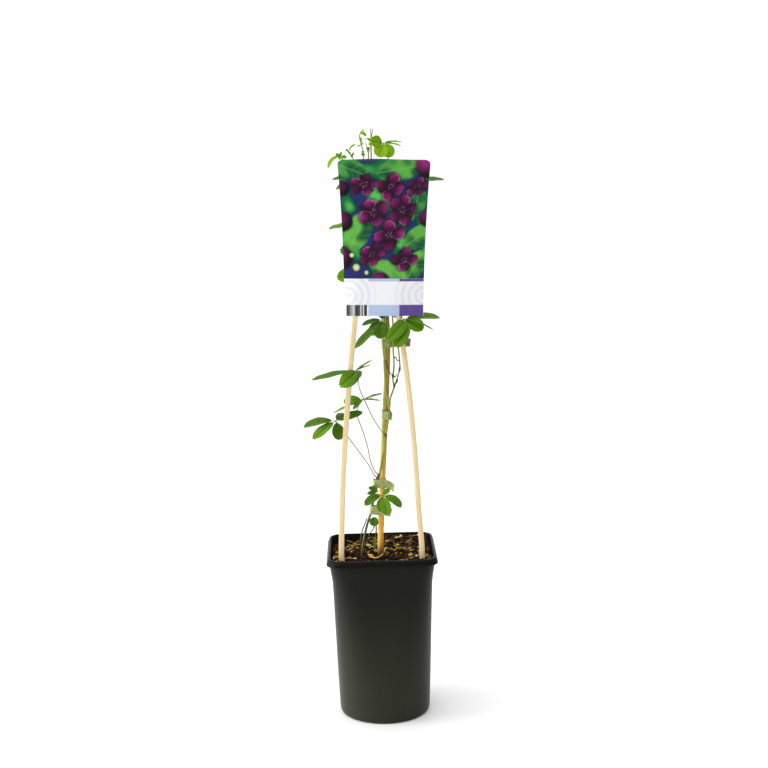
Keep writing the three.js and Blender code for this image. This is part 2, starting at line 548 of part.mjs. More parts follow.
// Each leaf or shoot: the stem that it grows from and the height there, the route of its petiole,
// its hub and its leaflets. A spray may carry further leaves.
const SPRAYS = {
  leaf_low_front: {
    stem: 'main_stem', from: 277,
    leaves: [
      { petiole: [[-4.5, -35, 280]], hub: [2, -46, 280], leaflets: [
        [[-21, -2, -11], 10.5, 62, [-2, 0, 4]], [[22, -4, -14], 10.5, 62, [3, 0, 4]],
        [[-3, -12, -17], 11, 88], [[5.5, -14, -20], 13.5, 88], [[9, 4, 7], 7, 60]] },
      { petiole: [[-6.5, -33, 281]], hub: [-3.4, -39, 283.5], leaflets: [
        [[-11, -4, 6], 6.5, 45], [[-12.5, -3, -2], 6, 45], [[-6, 1, 7], 5.5, 50]] },
    ],
  },
  leaf_left_low: {
    stem: 'main_stem', from: 297,
    leaves: [{ petiole: [[-6.8, -31, 302], [-12.4, -31, 313], [-20.6, -29, 325], [-29, -28, 337],
      [-37, -29, 349], [-45, -30, 362]], hub: [-51, -30, 368], leaflets: [
      [[-38, -4, -6], 14, 36, [0, 0, 2]], [[-27, -18, -18], 14, 48, [1, 0, -1.5]],
      [[5, -3, -22.5], 15, 80], [[33, -1, 10], 11, 52, [0, 0, -1.5]], [[14, 26, 3], 13, 40]] }],
  },
  leaf_left_middle: {
    stem: 'main_stem', from: 300,
    leaves: [{ petiole: [[-6, -28, 306], [-10.6, -26.8, 317], [-14, -26, 336], [-19.4, -24, 355],
      [-25, -23, 372], [-25, -25, 381]], hub: [-18, -30, 393], leaflets: [
      [[23, -8, 7.5], 10, 10, [0, 0, -2.5]], [[21, 12, -4], 10, 8, [0, 0, -2.5]], [[-23, 8, -3.6], 12, 74],
      [[-36, 0.5, -16.2], 12, 8, [0, 0.4, -5]], [[-12, -4, -11], 5, 60]] }],
  },
  leaf_left_high: {
    stem: 'main_stem', from: 348,
    leaves: [{ petiole: [[2, -28.6, 356], [-7, -28, 371], [-15, -26.5, 389], [-21, -27.6, 404]],
      hub: [-25, -33, 428], leaflets: [
        [[-53, 6, -11], 12, 30, [0, 0, -4]], [[-20, -29, -14], 19, 80, [6.5, -15, 3]],
        [[-1, -26, -8], 12, 70, [5, -3, 0]], [[20, 20, 9.5], 11, 8, [0, 0, -3]],
        [[16, 21, 2.5], 11, 8, [0, 0, -2]]] }],
  },
  leaf_centre_left: {
    stem: 'main_stem', from: 474,
    leaves: [{ petiole: [[7.4, -28, 480]], hub: [7, -34, 487], leaflets: [
      [[-24, 0, -6], 11, 32], [[-33, -16, -31], 13, 42, [3, 0, -3]], [[-15, 2, -18], 13, 70],
      [[-4, -14, -21], 17, 86], [[-5, 15, 7], 12, 40]] }],
  },
  leaf_centre_right: {
    stem: 'side_stem_right', from: 462,
    leaves: [{ petiole: [[28.4, -28, 473]], hub: [31.4, -34.6, 487], leaflets: [
      [[-9.8, -21, -31], 19, 84, [6, -10, 6]], [[-21.8, -21, -23], 16, 82, [12, -11, 7]],
      [[23.2, -6, -12], 18, 66], [[34.2, -13, -12], 11, 8], [[44.2, 15, -1], 14, 36],
      [[-12.4, 3.6, 9.5], 9, 86]] }],
  },
  leaf_hood_left_1: {
    stem: 'side_stem_left', from: 533,
    leaves: [{ petiole: [[6, -26, 538], [-4, -20, 541]], hub: [-15, -13, 542], leaflets: [
      [[-30, -2, -7], 17, 75], [[-12, 14, 15], 13, 60], [[4, 4, -25], 14, 80], [[16, 16, 3], 13, 60],
      [[4, 18, 15], 12, 50]] }],
  },
  leaf_hood_left_2: {
    stem: 'side_stem_left', from: 556,
    leaves: [{ petiole: [[-2, -24, 562]], hub: [-12, -20, 568], leaflets: [
      [[-28.5, 0, -1], 16, 75], [[-10, 6, 17], 12, 60], [[-2, -4, -18], 12, 80], [[-20, 12, 9], 12, 60]] }],
  },
  leaf_hood_left_3: {
    stem: 'main_stem', from: 584,
    leaves: [{ petiole: [[0, -8, 590], [-14, -10, 595]], hub: [-25, -13, 597], leaflets: [
      [[-28, 2, -4.5], 12, 28, [0, 0, -2]], [[-7, 8, 16], 12, 60], [[-4, 12, -16], 12, 60],
      [[10, 16, 12], 12, 60]] }],
  },
  leaf_hood_left_4: {
    stem: 'main_stem', from: 630,
    leaves: [{ petiole: [[-2, -14, 636], [-14, -13, 645]], hub: [-24, -13, 649], leaflets: [
      [[-23.2, 2, 0.4], 8, 36, [1, 0, 1.5]], [[-18.8, -4, -11.1], 6, 60], [[2, 6, -24], 12, 80],
      [[-3, 12, 13], 11, 55],
      [[14, 18, 4], 12, 50]] }],
  },
  leaf_hood_right: {
    stem: 'side_stem_right', from: 618,
    leaves: [{ petiole: [[24, -18, 628], [35, -15, 640]], hub: [45, -14, 647], leaflets: [
      [[38.5, 0, -0.5], 12, 30, [0, 0, -3.5]], [[8, 8, -23], 12, 70], [[-13, 12, -16], 12, 60],
      [[-12, 14, 8], 12, 60]] }],
  },
  leaf_back_1: {
    stem: 'main_stem', from: 506,
    leaves: [{ petiole: [[20, -17, 512], [26, -8, 517]], hub: [30, 1, 520], leaflets: [
      [[20, 10, 3], 13, 50], [[9, 16, -18], 14, 60], [[-13, 20, -9], 14, 60], [[-8, 17, 14], 13, 60],
      [[13, 12, 17], 12, 60]] }],
  },
  leaf_back_2: {
    stem: 'main_stem', from: 603,
    leaves: [{ petiole: [[8, -4, 606]], hub: [7, 5, 609], leaflets: [
      [[19, 14, 2], 13, 50], [[9, 12, -20], 13, 60], [[-12, 18, -13], 13, 60], [[-5, 14, 19], 13, 60],
      [[14, 10, 17], 12, 60]] }],
  },
  leaf_back_3: {
    stem: 'side_stem_right', from: 548,
    leaves: [{ petiole: [[30, -15, 558], [32, -5, 566]], hub: [31, 3, 571], leaflets: [
      [[18, 10, -6], 13, 50], [[4, 16, -18], 13, 60], [[-14, 18, -2], 13, 60], [[0, 14, 19], 13, 60],
      [[16, 8, 15], 12, 60]] }],
  },
  leaf_top_left: {
    stem: 'side_stem_left', from: 612, young: true,
    leaves: [{ petiole: [[-14, -26, 630], [-24, -25, 650], [-31, -23, 666]], hub: [-36, -20, 676], leaflets: [
      [[-15, -6, -13.6], 5.5, 50, [-3.5, 0, 5]], [[-6.3, -3, 2], 4.5, 55], [[6.5, -3, -2], 5, 60],
      [[0.3, 2, 5], 3.5, 60], [[-1.5, -5, -4], 4.5, 75]] }],
  },
  leaf_top_right: {
    stem: 'side_stem_right', from: 630, young: true,
    leaves: [{ petiole: [[20.5, -17, 638], [19, -18, 660], [18, -19, 674]], hub: [13, -20, 689.5], leaflets: [
      [[-14.5, -4, 3], 14.5, 80], [[-5, -9, -16], 17, 88], [[9.5, -9, -16], 15, 88],
      [[22, 10, 1], 10, 18], [[21, 3, -3.5], 9, 14]] }],
  },
  curled_shoot: {
    stem: 'side_stem_left', from: 630, young: true,
    leaves: [
      { petiole: [[-9, -17, 645], [-10.5, -14, 662], [-10, -14, 673], [-10.4, -14, 682], [-12.6, -14, 690],
        [-14, -14, 699]], hub: [-11, -14, 703.6], leaflets: [[[2.4, -2, 1.2], 4.5, 75],
        [[1.6, -2, -3.4], 4.5, 80], [[-1.2, -1, -2.5], 3, 70], [[4.4, -1, -5.6], 3.5, 60]] },
    ],
    sprigs: [
      { hub: [-12.2, -14, 689], leaflets: [[[-5, -1, -2.2], 2.2, 40, [0, 0, -1]], [[2.6, -1, 1], 2.2, 60],
        [[-0.6, 0, 8.5], 2.4, 70]] },
      { hub: [-10.3, -14, 679], leaflets: [[[-0.8, -2, 3], 3, 80], [[1.2, -2, -3.2], 3.4, 85],
        [[-1.4, -2, -2.8], 3, 80]] },
    ],
  },
  forked_shoot: {
    stem: 'side_stem_left', from: 642, young: true,
    leaves: [
      { petiole: [[-12, -19, 652], [-19, -17, 665], [-23.6, -16, 676]], hub: [-27, -16, 681], leaflets: [
        [[-3.5, -1, 2.6], 3, 50], [[8.2, -1, 8.6], 3, 40, [-0.8, 0, 1]], [[2, -2, -3], 2.5, 75]] },
    ],
    sprigs: [{ hub: [-23.2, -16.2, 674.6], leaflets: [[[2.2, -1, 5.5], 3, 50], [[-1.5, -3, 3], 2.5, 70]] }],
  },
};

function buildSpray({ stem, from, leaves, sprigs = [] }) {
  const root = atHeight(STEMS[stem].route, from);
  const bodies = leaves.map((leaf) => leafBody({ ...leaf, petiole: [root, ...leaf.petiole] }));
  const small = sprigs.flatMap(({ hub, leaflets }) => leaflets.map((item) => leaflet(hub, item)));
  return joined([...bodies, ...small]).subtract(stemBar(STEMS[stem], CLEAR));
}

/** Shoot of its own from the soil, with one small round leaflet. */
const ROUND_SHOOT = {
  route: [[-20, 2, 176], [-20, 2, 201], [-18, -4, 213], [-14, -13, 225], [-9.6, -23, 234]],
  hub: [-8.6, -26.5, 237],
  leaflets: [[[0.6, -2.5, 13.5], 11, 85]],
};

const TIES = {
  tape_tie_1: { z: 256.5, around: [[0.9, -21.4, 4.2], [-10.9, -24.8, 2.3]], tilt: 0.15,
    end: [[2, -25.6, 0], [8, -26.6, 0.2], [13, -26, 0.6]] },
  tape_tie_2: { z: 290, around: [[3, -20.9, 4], [-6.4, -27.1, 2.4]], tilt: 0.02,
    end: [[4, -25.2, 0], [9, -25.9, 0.8], [14, -27, 3], [16.6, -28.4, 6]] },
  tape_tie_3: { z: 372.5, around: [[8.2, -19.7, 4], [12, -24, 2.6]], tilt: 0.06,
    end: [[14.1, -24, 0], [15.2, -26.5, 1.2], [15.8, -29, 2.4]] },
  tape_tie_4: { z: 457, around: [[12.55, -18.6, 4], [7.7, -21.6, 1.9]], tilt: -0.04,
    end: [[15, -14.7, 0], [26, -15.4, 0], [40, -17.4, 0.6]] },
};

const front = new THREE.Group();
front.position.set(...STICKS.foot);
front.rotation.x = -STICKS.lean;
front.updateMatrix();
vine.add(front);

const stickHoles = [STICKS.left, STICKS.right]
  .map((route) => stick(route, CLEAR).transform(front.matrix.elements));
const sunkStems = [...Object.values(STEMS).filter(({ route }) => route[0][2] < SOIL.level),
  { route: ROUND_SHOOT.route, radii: [PETIOLE + CLEAR, PETIOLE + CLEAR], steps: 6 }];
const stemHoles = sunkStems.map((spec) => {
  const [[x, y, z], ...rest] = spec.route;
  return stemBar({ ...spec, route: [[x, y, z - CLEAR], ...rest] }, CLEAR);
});

addPiece('pot', buildPot(), FINISH.pot);
addPiece('soil', buildSoil([caneBar(CLEAR), ...stickHoles, ...stemHoles]), FINISH.soil);
addPiece('bark_curl', barkCurl(), FINISH.bark);
addPiece('cane', caneBar(0), FINISH.cane);
addPiece('split_stick_left', stick(STICKS.left, 0), FINISH.stick, front);
addPiece('split_stick_right', stick(STICKS.right, 0), FINISH.stick, front);

const hood = addPiece('label_hood', buildHood(), FINISH.hood, front);
hood.position.set(HOOD.foot[0], 0, HOOD.foot[1]);
hood.rotation.y = HOOD.turn;

for (const [name, spec] of Object.entries(TIES)) addPiece(name, tapeTie(spec), FINISH.tape);
for (const [name, spec] of Object.entries(STEMS)) {
  const base = name === 'side_stem_left' ? [STEMS.main_stem] : [];
  const fork = name === 'side_stem_right' ? [STEMS.side_stem_left] : [];
  const seats = [...base, ...fork].map((neighbour) => stemBar(neighbour, CLEAR));
  addPiece(name, largest(seats.reduce((stem, seat) => stem.subtract(seat), buildStem(spec))), FINISH.stem);
}
addPiece('round_leaf_shoot', leafBody({ ...ROUND_SHOOT, petiole: ROUND_SHOOT.route }), FINISH.leaf);
for (const [name, spec] of Object.entries(SPRAYS)) {
  addPiece(name, buildSpray(spec), spec.young ? FINISH.youngLeaf : FINISH.leaf);
}

export default vine;
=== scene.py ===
"""Potted chocolate vine: the finish of every piece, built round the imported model.

The routes of stems, leaf stalks and sticks are the model's own, in millimetres; MM makes them metres.
"""

import math
import random

import bmesh
import bpy
from mathutils import Matrix, Vector
from mathutils.noise import noise as smooth_noise


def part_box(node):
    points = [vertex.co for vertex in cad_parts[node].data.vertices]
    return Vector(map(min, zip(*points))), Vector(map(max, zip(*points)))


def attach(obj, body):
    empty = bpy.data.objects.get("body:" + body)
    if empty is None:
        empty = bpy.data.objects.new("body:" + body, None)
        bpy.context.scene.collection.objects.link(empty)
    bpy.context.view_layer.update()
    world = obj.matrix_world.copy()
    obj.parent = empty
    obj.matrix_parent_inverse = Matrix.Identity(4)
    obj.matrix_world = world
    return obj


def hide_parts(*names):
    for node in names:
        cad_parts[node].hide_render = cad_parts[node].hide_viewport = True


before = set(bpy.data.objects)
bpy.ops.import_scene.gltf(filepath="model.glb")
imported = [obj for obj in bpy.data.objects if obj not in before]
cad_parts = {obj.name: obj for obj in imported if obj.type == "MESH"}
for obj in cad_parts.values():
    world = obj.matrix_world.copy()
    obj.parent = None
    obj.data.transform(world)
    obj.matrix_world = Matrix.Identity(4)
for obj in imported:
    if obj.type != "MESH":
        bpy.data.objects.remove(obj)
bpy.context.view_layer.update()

MM = 0.001
TOUCH = 0.00001
UP = Vector((0, 0, 1))

# The photograph's viewpoint.
EYE = Vector((-0.0201, -1.6499, 0.670))
HEADING = math.radians(0.97)
PITCH = math.radians(9.09)
ROLL = math.radians(1.35)
FOCAL = 65.44

ROOM_STRENGTH = 1.04
FRONT_DIM = 0.72
RIGHT_DIM = 0.8
SKY_STRENGTH = 1.35
SKY_SPREAD = math.radians(80)
SKY_TURN = (math.radians(14), math.radians(-20), 0)
SOFTBOX_PLACE = Vector((-1.9, -0.2, 0.35))
SOFTBOX_TARGET = Vector((0, 0, 0.15))
SOFTBOX_POWER = 36
SOFTBOX_SIZE = 1.0
FLOOR_SIZE = 16
FLOOR_GAP = 0.0005
FLOOR_TONE = 0.92

POT_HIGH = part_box("pot")[1]
POT_HEIGHT = POT_HIGH.z
RIM_HALF = POT_HIGH.x
FOOT_HALF = 0.0552
NECK_HALF = 0.0594
FLARE = 0.0023
FLARE_HEIGHT = 0.028
FULLER = 0.0009  # how much the outer wall swells beyond the model's, from FULL_FROM upwards
FULL_FROM = 0.06
LIP = 0.0078
NECK = POT_HEIGHT - LIP
WALL = 0.0018
FLOOR = 0.0034
CORNER_SHARE = 0.76
HOLE_COUNT = 8
HOLE_RADIUS = 0.004
HOLE_CIRCLE = 0.031
DRILL_DEPTH = 0.012
DRILL_MIDDLE = 0.002

# Rings of the pot: how far inside the half width of its rim or foot, and at what height.
LIP_RINGS = [(0.0027, POT_HEIGHT - 0.0002), (0.0021, POT_HEIGHT - 0.0009), (0.0001, NECK + 0.0014),
             (0.0002, NECK + 0.0005), (0.0009, NECK)]
MOUTH_INSET = 0.0038
UNDER_LIP = (0.0004, 0.0001)
MOUTH_RINGS = [(0.0046, POT_HEIGHT - 0.0003), (0.005, POT_HEIGHT - 0.0014)]
FOOT_RINGS = [(0.0001, 0.0036), (0.0009, 0.0012), (0.0026, 0), (0.0076, 0), (0.009, 0.0016), (0.0377, 0.0016),
              (0.0392, 0)]
WALL_LEVELS = [0.1975, 0.194, 0.189, 0.183, 0.176, 0.166, 0.152, 0.136, 0.118, 0.098, 0.076, 0.052, 0.028,
               0.008]

SOIL_LEVEL = 0.2003
HOLLOW = (-0.046, 0.044)
HOLLOW_DEPTH = 0.008
HOLLOW_SPREAD = 0.017
HEAP = 0.002
BROAD_RIPPLE = 0.0008
FINE_RIPPLE = 0.00045
CRUMB = 0.0011
FINE_CRUMB = 0.0007
SURFACE_BAND = 0.001
MIX_LEVELS = [0.189, 0.176, 0.152, 0.118, 0.076, 0.028, 0.004]
MIX_GAP = 0.0004  # between the mix and the pot's inner wall
CHIP_COUNT = 1600
CHIP_SEED = 7
CHIP_LEVEL = 0.19
CHIP_MARGIN = 0.0015
CHIP_OVERHANG = 0.0008
CHIP_GROWTH = (0.55, 1.3)
CHIP_LIFT = (0.0002, 0.0016)
CHIP_SIZES = {"sliver": (0.01, 0.0019, 0.0007, 0.0008), "flake": (0.006, 0.0028, 0.0009, 0.0004),
              "fibre": (0.013, 0.0011, 0.0006, 0.0016), "crumb": (0.0036, 0.0026, 0.002, 0.0003)}
CHIP_TONES = [(0.22, 0.16)] * 9 + [(0.58, 0.1)] * 3 + [(0.88, 0.08)]  # middle and spread, most of them dark
PALE_TONE = 0.75
PALE_GROWTH = 1.3
CORNER_CLEAR = 0.006
CANE_SEAT = (-0.0017, -0.022)
CANE_CLEAR = 0.0055
CURL_SEAT = (-0.0076, -0.042)
CURL_CLEAR = (0.013, 0.008)
CURL_STEPS = 12
CURL_MIDDLE = (-0.0076, -0.0415, SOIL_LEVEL + 0.0026)
CURL_BEND = 0.034
CURL_RISE = 0.0115
CURL_LENGTH = 0.0185
CURL_WIDTH = 0.0034
CURL_SHEET = 0.0011

STICK_FOOT = Vector((0, -46.5, 201)) * MM
STICK_LEAN = math.atan(13.5 / 466)
STICK_SIZE = (6.5 * MM, 3.4 * MM)
STICK_EDGE = 0.45 * MM
STICK_ROUTES = {
    "left": [(-40.6, 4.5, -60), (-45.4, 1.3, -30), (-48.1, 0, 1), (-46.9, 0, 39), (-42.9, 0, 108),
             (-37.7, 0, 171), (-31.5, 0, 230), (-24.4, 0, 290), (-14.2, 0, 375), (-3.6, 0, 466)],
    "right": [(40.6, 4.5, -60), (45.4, 1.3, -30), (47.8, 0, 1), (44.7, 0, 61), (41.8, 0, 121),
              (37.9, 0, 179), (33.4, 0, 228), (25.9, 0, 289), (14.6, 0, 375), (3.6, 0, 466)],
}

HOOD_FOOT = (9.1 * MM, 291.3 * MM)
HOOD_HEIGHT = 0.18
HOOD_WIDTH = 0.0916
HOOD_FLARE = 0.0157
HOOD_CORNER = 0.0055
HOOD_TURN = math.radians(1.36)
HOOD_DEPTH = 0.0024
FILM = 0.0003
UNEVEN = 0.9  # the film's rows lie closer together towards the top
SUPPORT = 0.003  # half the width over which a stick carries the film
SEAM_GAP = 0.00022
SEAM_WIDTH = 0.0035
TOP_SEAM_WIDTH = 0.0036
CROWN = 0.0011
CROWN_WIDTH = 0.026
HOOD_RIPPLE = 0.0002
LEAST_ROOM = 0.004

CANE_ROUTE = [(-3.4, -23.4, 62), (-1.7, -22, 201), (1.5, -21.3, 268), (6.3, -20.1, 345), (9.5, -19.4, 392),
              (12.5, -18.7, 452), (12.2, -18.2, 486), (10.6, -17.2, 560), (8.2, -16, 655)]
CANE_RADII = (3.7 * MM, 3.35 * MM)
CANE_JOINTS = 5
CANE_SWELL = 0.45 * MM
CANE_WAVE = 0.06 * MM
JOINT_WIDTH = 0.018
GROOVE_DEPTH = 0.55
GROOVE_BEFORE = 0.03
GROOVE_WIDTH = 0.012

TAPE_WIDTH = 10.5 * MM
TAPE_GAP = 0.35 * MM
TAPE_SHEET = 0.32 * MM

PETIOLE = 0.62 * MM
BLADE = 0.42 * MM
LEAFLET_ROWS = 22
LEAFLET_COLUMNS = 12
NOTCH = 0.045
NOTCH_WIDTH = 0.13
TIP_ROUNDING = 0.03
CHANNEL = 0.1
CHANNEL_WIDTH = 0.06
FOLD = 0.2
ARCH = 0.14
STALK_SHARE = 0.14
NODE_SWELL = 0.45
SWELL_REACH = 4 * MM
BROWN_REACH = 4.5 * MM
FOOT_REACH = 7 * MM
HUB_KNOB = 0.95 * MM
TWIG = 0.6
SNAG = 0.75
TAPER = 0.2
STEM_SEED = 100
SPRAY_SEED = 200
SHOOT_SEED = 300
LOOK = Vector((0, 0.987, -0.158))  # the model lays level leaves edge-on along this line


def mm(*points):
    """Points given in millimetres, as vectors in metres."""
    return [Vector(point) * MM for point in points]


def smooth_step(low, high, value):
    share = min(1.0, max(0.0, (value - low) / (high - low)))
    return share * share * (3 - 2 * share)


def only(piece, *others):
    """Select these objects alone, the first one active."""
    bpy.ops.object.select_all(action="DESELECT")
    for item in (piece, *others):
        item.select_set(True)
    bpy.context.view_layer.objects.active = piece


def take_all():
    bpy.ops.mesh.select_all(action="SELECT")


def start_edit(piece):
    """Into edit mode, with every vertex selected."""
    only(piece)
    bpy.ops.object.mode_set(mode="EDIT")
    bpy.ops.mesh.select_mode(type="VERT")
    take_all()


def end_edit():
    bpy.ops.object.mode_set(mode="OBJECT")


def pick(piece, test):
    """In edit mode: select the vertices whose place passes the test."""
    bpy.ops.mesh.select_all(action="DESELECT")
    mesh = bmesh.from_edit_mesh(piece.data)
    for vertex in mesh.verts:
        vertex.select_set(test(vertex.co))
    mesh.select_flush(True)
    bmesh.update_edit_mesh(piece.data)


def resize(value, centre):
    """In edit mode: stretch what is selected from this centre."""
    bpy.ops.transform.resize(value=value, center_override=centre)


def extrude(step):
    """In edit mode: draw what is selected on by this step."""
    bpy.ops.mesh.extrude_region_move(TRANSFORM_OT_translate={"value": step})


def named(piece, name):
    piece.name = name
    piece.data.name = name
    return piece


def new_piece(name):
    """Name the primitive that was just added, with its place moved into its mesh."""
    piece = named(bpy.context.active_object, name)
    only(piece)
    bpy.ops.object.transform_apply(location=True, rotation=True, scale=True)
    return piece


def add_object(name, data):
    made = bpy.data.objects.new(name, data)
    bpy.context.collection.objects.link(made)
    return made


def finish_with(piece, kind, **settings):
    """Add one modifier with these settings and apply it."""
    only(piece)
    bpy.ops.object.modifier_add(type=kind)
    modifier = piece.modifiers[-1]
    for key, value in settings.items():
        setattr(modifier, key, value)
    bpy.ops.object.modifier_apply(modifier=modifier.name)


def join(name, parts):
    """Join several objects in one named piece."""
    only(*parts)
    if len(parts) > 1:
        bpy.ops.object.join()
    return named(parts[0], name)


def shade(piece, angle=60):
    """Smooth the faces that meet at less than this angle."""
    only(piece)
    bpy.ops.object.shade_smooth_by_angle(angle=math.radians(angle))


def dress(piece, skin, angle=60):
    """Give a piece one of the materials, and smooth it."""
    piece.data.materials.append(SKINS[skin])
    shade(piece, angle)


def tidy_normals(piece):
    start_edit(piece)
    bpy.ops.mesh.remove_doubles(threshold=TOUCH)
    bpy.ops.mesh.normals_make_consistent(inside=False)
    end_edit()


def install(piece, slot, *nodes):
    """Put a finished piece in the frame in place of the model's nodes."""
    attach(piece, "root")
    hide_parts(*nodes)


def route_line(route, per_span):
    """Smooth line through a route's points, the same curve that the model follows."""
    points = mm(*route)
    points = [2 * points[0] - points[1], *points, 2 * points[-1] - points[-2]]
    line = []
    for a, b, c, d in zip(points, points[1:], points[2:], points[3:]):
        k0, k1, k2 = (math.sqrt((q - p).length) for p, q in ((a, b), (b, c), (c, d)))
        leave = ((b - a) / k0 - (c - a) / (k0 + k1) + (c - b) / k1) * k1
        arrive = ((c - b) / k1 - (d - b) / (k1 + k2) + (d - c) / k2) * k1
        for step in range(per_span):
            t = step / per_span
            line.append(b * (2 * t**3 - 3 * t**2 + 1) + leave * (t**3 - 2 * t**2 + t)
                        + c * (3 * t**2 - 2 * t**3) + arrive * (t**3 - t**2))
    line.append(points[-2])
    return line


def at_height(route, height):
    """Point of a climbing route at a height in millimetres."""
    line = route_line(route, 60)
    return next(point for point in line if point.z >= height * MM)


def shares_along(line):
    """How far along the line each of its points lies, from 0 to 1."""
    lengths = [0.0]
    for a, b in zip(line, line[1:]):
        lengths.append(lengths[-1] + (b - a).length)
    return [length / lengths[-1] for length in lengths]


def rod(name, line, radius_at, resolution):
    """Round rod along a line of points; radius_at gives its radius at a share of the length."""
    curve = bpy.data.curves.new(name, "CURVE")
    curve.dimensions = "3D"
    curve.bevel_depth = 1.0
    curve.bevel_resolution = resolution
    curve.use_fill_caps = True
    spline = curve.splines.new("POLY")
    spline.points.add(len(line) - 1)
    for point, place, share in zip(spline.points, line, shares_along(line)):
        point.co = (*place, 1)
        point.radius = radius_at(share)
    only(add_object(name, curve))
    bpy.ops.object.convert(target="MESH")
    return bpy.context.active_object


def stamp(mesh, name, values):
    """Store a number at each vertex, for the material to read."""
    layer = mesh.attributes.new(name, "FLOAT", "POINT")
    layer.data.foreach_set("value", values)


def stamp_places(piece, name, value_of):
    """Store at each vertex a number worked out from its place."""
    stamp(piece.data, name, [value_of(vertex.co) for vertex in piece.data.vertices])


# Materials

# Heights and places at which a finish changes from one colour to the next.
# Painted light: below this height the pot's wall is made paler, for light bounced up from the floor.
POT_FLOOR_LIGHT_BELOW = 0.19
# Painted shade: above these heights the pot's lip is made nearly black.
POT_LIP_SHADE = (0.1975, 0.199)
CANE_GOLDEN = (0.255, 0.33)
CANE_GREEN = (0.34, 0.47)
CANE_SIDES_FROM = (0.31, 0.36)
CANE_DAMP = (0.205, 0.232)
TIES_SPAN = (0.22, 0.47)
TOP_TIE = (0.4, 0.44)
# Painted shade: from here rightwards the top tie's loose end is darkened.
FAR_END_SHADE = (0.019, 0.031)
STEM_DARK = (0.262, 0.286)


class Shader:
    """Short way to add nodes to one tree and wire them together."""

    def __init__(self, tree):
        self.tree = tree

    def feed(self, socket, value):
        if isinstance(value, bpy.types.NodeSocket):
            self.tree.links.new(value, socket)
        elif value is not None:
            socket.default_value = value

    def node(self, kind, *inputs, **settings):
        node = self.tree.nodes.new("ShaderNode" + kind)
        for key, value in settings.items():
            setattr(node, key, value)
        for socket, value in zip(node.inputs, inputs):
            self.feed(socket, value)
        return node

    def add(self, kind, *inputs, out=0, **settings):
        return self.node(kind, *inputs, **settings).outputs[out]

    def math(self, operation, *inputs):
        return self.add("Math", *inputs, operation=operation)

    def plus(self, first, second):
        return self.math("ADD", first, second)

    def minus(self, first, second):
        return self.math("SUBTRACT", first, second)

    def times(self, first, second):
        return self.math("MULTIPLY", first, second)

    def vector(self, operation, *inputs, out=0):
        return self.add("VectorMath", *inputs, operation=operation, out=out)

    def split(self, vector):
        return self.node("SeparateXYZ", vector).outputs

    def step(self, value, low, high, to_low=0.0, to_high=1.0):
        """Smooth rise from to_low to to_high while the value goes from low to high."""
        return self.add("MapRange", value, low, high, to_low, to_high, interpolation_type="SMOOTHSTEP")

    def blend(self, share, first, second, mode="MIX"):
        node = self.node("Mix", share, data_type="RGBA", blend_type=mode)
        self.feed(node.inputs[6], first)
        self.feed(node.inputs[7], second)
        return node.outputs[2]

    def over(self, base, *coats):
        """Lay coats over a base, each given by its share, red, green and blue."""
        for share, *tint in coats:
            base = self.blend(share, base, color(*tint))
        return base

    def noise(self, vector, scale, detail=3.0, roughness=0.5):
        return self.add("TexNoise", vector, None, scale, detail, roughness)

    def ramp(self, value, *stops):
        """Colour ramp through stops, each given by its place, red, green and blue."""
        node = self.node("ValToRGB", value)
        elements = node.color_ramp.elements
        while len(elements) < len(stops):
            elements.new(0.5)
        for element, (place, *tint) in zip(elements, stops):
            element.position = place
            element.color = color(*tint)
        return node.outputs[0]

    def here(self):
        """Object coordinates."""
        return self.add("TexCoord", out=3)

    def place(self, scale=(1, 1, 1)):
        """Object coordinates, stretched."""
        return self.add("Mapping", self.here(), None, None, scale)

    def unrolled(self):
        """The two coordinates of the piece's own map."""
        return self.split(self.add("UVMap", uv_map="UVMap"))[:2]

    def attribute(self, name):
        return self.add("Attribute", attribute_name=name, attribute_type="GEOMETRY", out=2)

    def bump(self, height, strength, distance):
        return self.add("Bump", strength, distance, None, height)


def color(red, green, blue):
    """Colour given as it looks on a screen, 0 to 255, made linear."""
    return tuple(((c / 255 + 0.055) / 1.055) ** 2.4 if c > 10 else c / 255 / 12.92
                 for c in (red, green, blue)) + (1,)


def surface(base, roughness, normal):
    """What a paint function wires; None leaves an input as it is."""
    return {"Base Color": base, "Roughness": roughness, "Normal": normal}


def material(name, paint, **sockets):
    """New material; paint wires colour, roughness and bump, sockets sets the shader's other inputs."""
    made = bpy.data.materials.new(name)
    made.use_nodes = True
    tree = made.node_tree
    principled = tree.nodes["Principled BSDF"]
    shader = Shader(tree)
    for socket, value in paint(shader).items():
        shader.feed(principled.inputs[socket], value)
    for socket, value in sockets.items():
        principled.inputs[socket.replace("_", " ")].default_value = value
    return made


def pot_plastic(s):
    """Dark olive polypropylene with grain, flow marks and dust specks; painted light from the floor makes it
    paler low down, and painted shade makes the lip nearly black.
    """
    where = s.place()
    height = s.split(where)[2]
    grain = s.noise(where, 1900, 2)
    flow = s.noise(s.place((16, 16, 4)), 1, 2)
    specks = s.step(s.noise(where, 240, 5, 0.7), 0.66, 0.8, 0, 0.12)
    # Over the flow marks: painted floor light pales the wall towards the foot, painted shade darkens the lip
    # nearly to black, then real dust specks.
    base = s.over(s.blend(flow, color(15, 16, 10), color(22, 23, 14)),
                  (s.step(height, POT_FLOOR_LIGHT_BELOW, 0.0, 0, 0.5), 56, 58, 44),
                  (s.step(height, *POT_LIP_SHADE, 0, 0.7), 6, 6, 4), (specks, 110, 100, 76))
    return surface(base, s.step(flow, 0.2, 0.8, 0.36, 0.44), s.bump(grain, 0.12, 0.0001))


def potting_mix(s):
    where = s.place()
    crumbs = s.noise(where, 420, 5, 0.65)
    patches = s.noise(where, 70, 3)
    base = s.over(s.ramp(crumbs, (0.35, 5, 3, 2), (0.6, 22, 12, 6), (0.85, 66, 40, 16)),
                  (s.step(patches, 0.35, 0.75), 14, 7, 4))
    return surface(base, s.step(patches, 0.3, 0.7, 0.72, 0.96), s.bump(crumbs, 0.8, 0.0008))


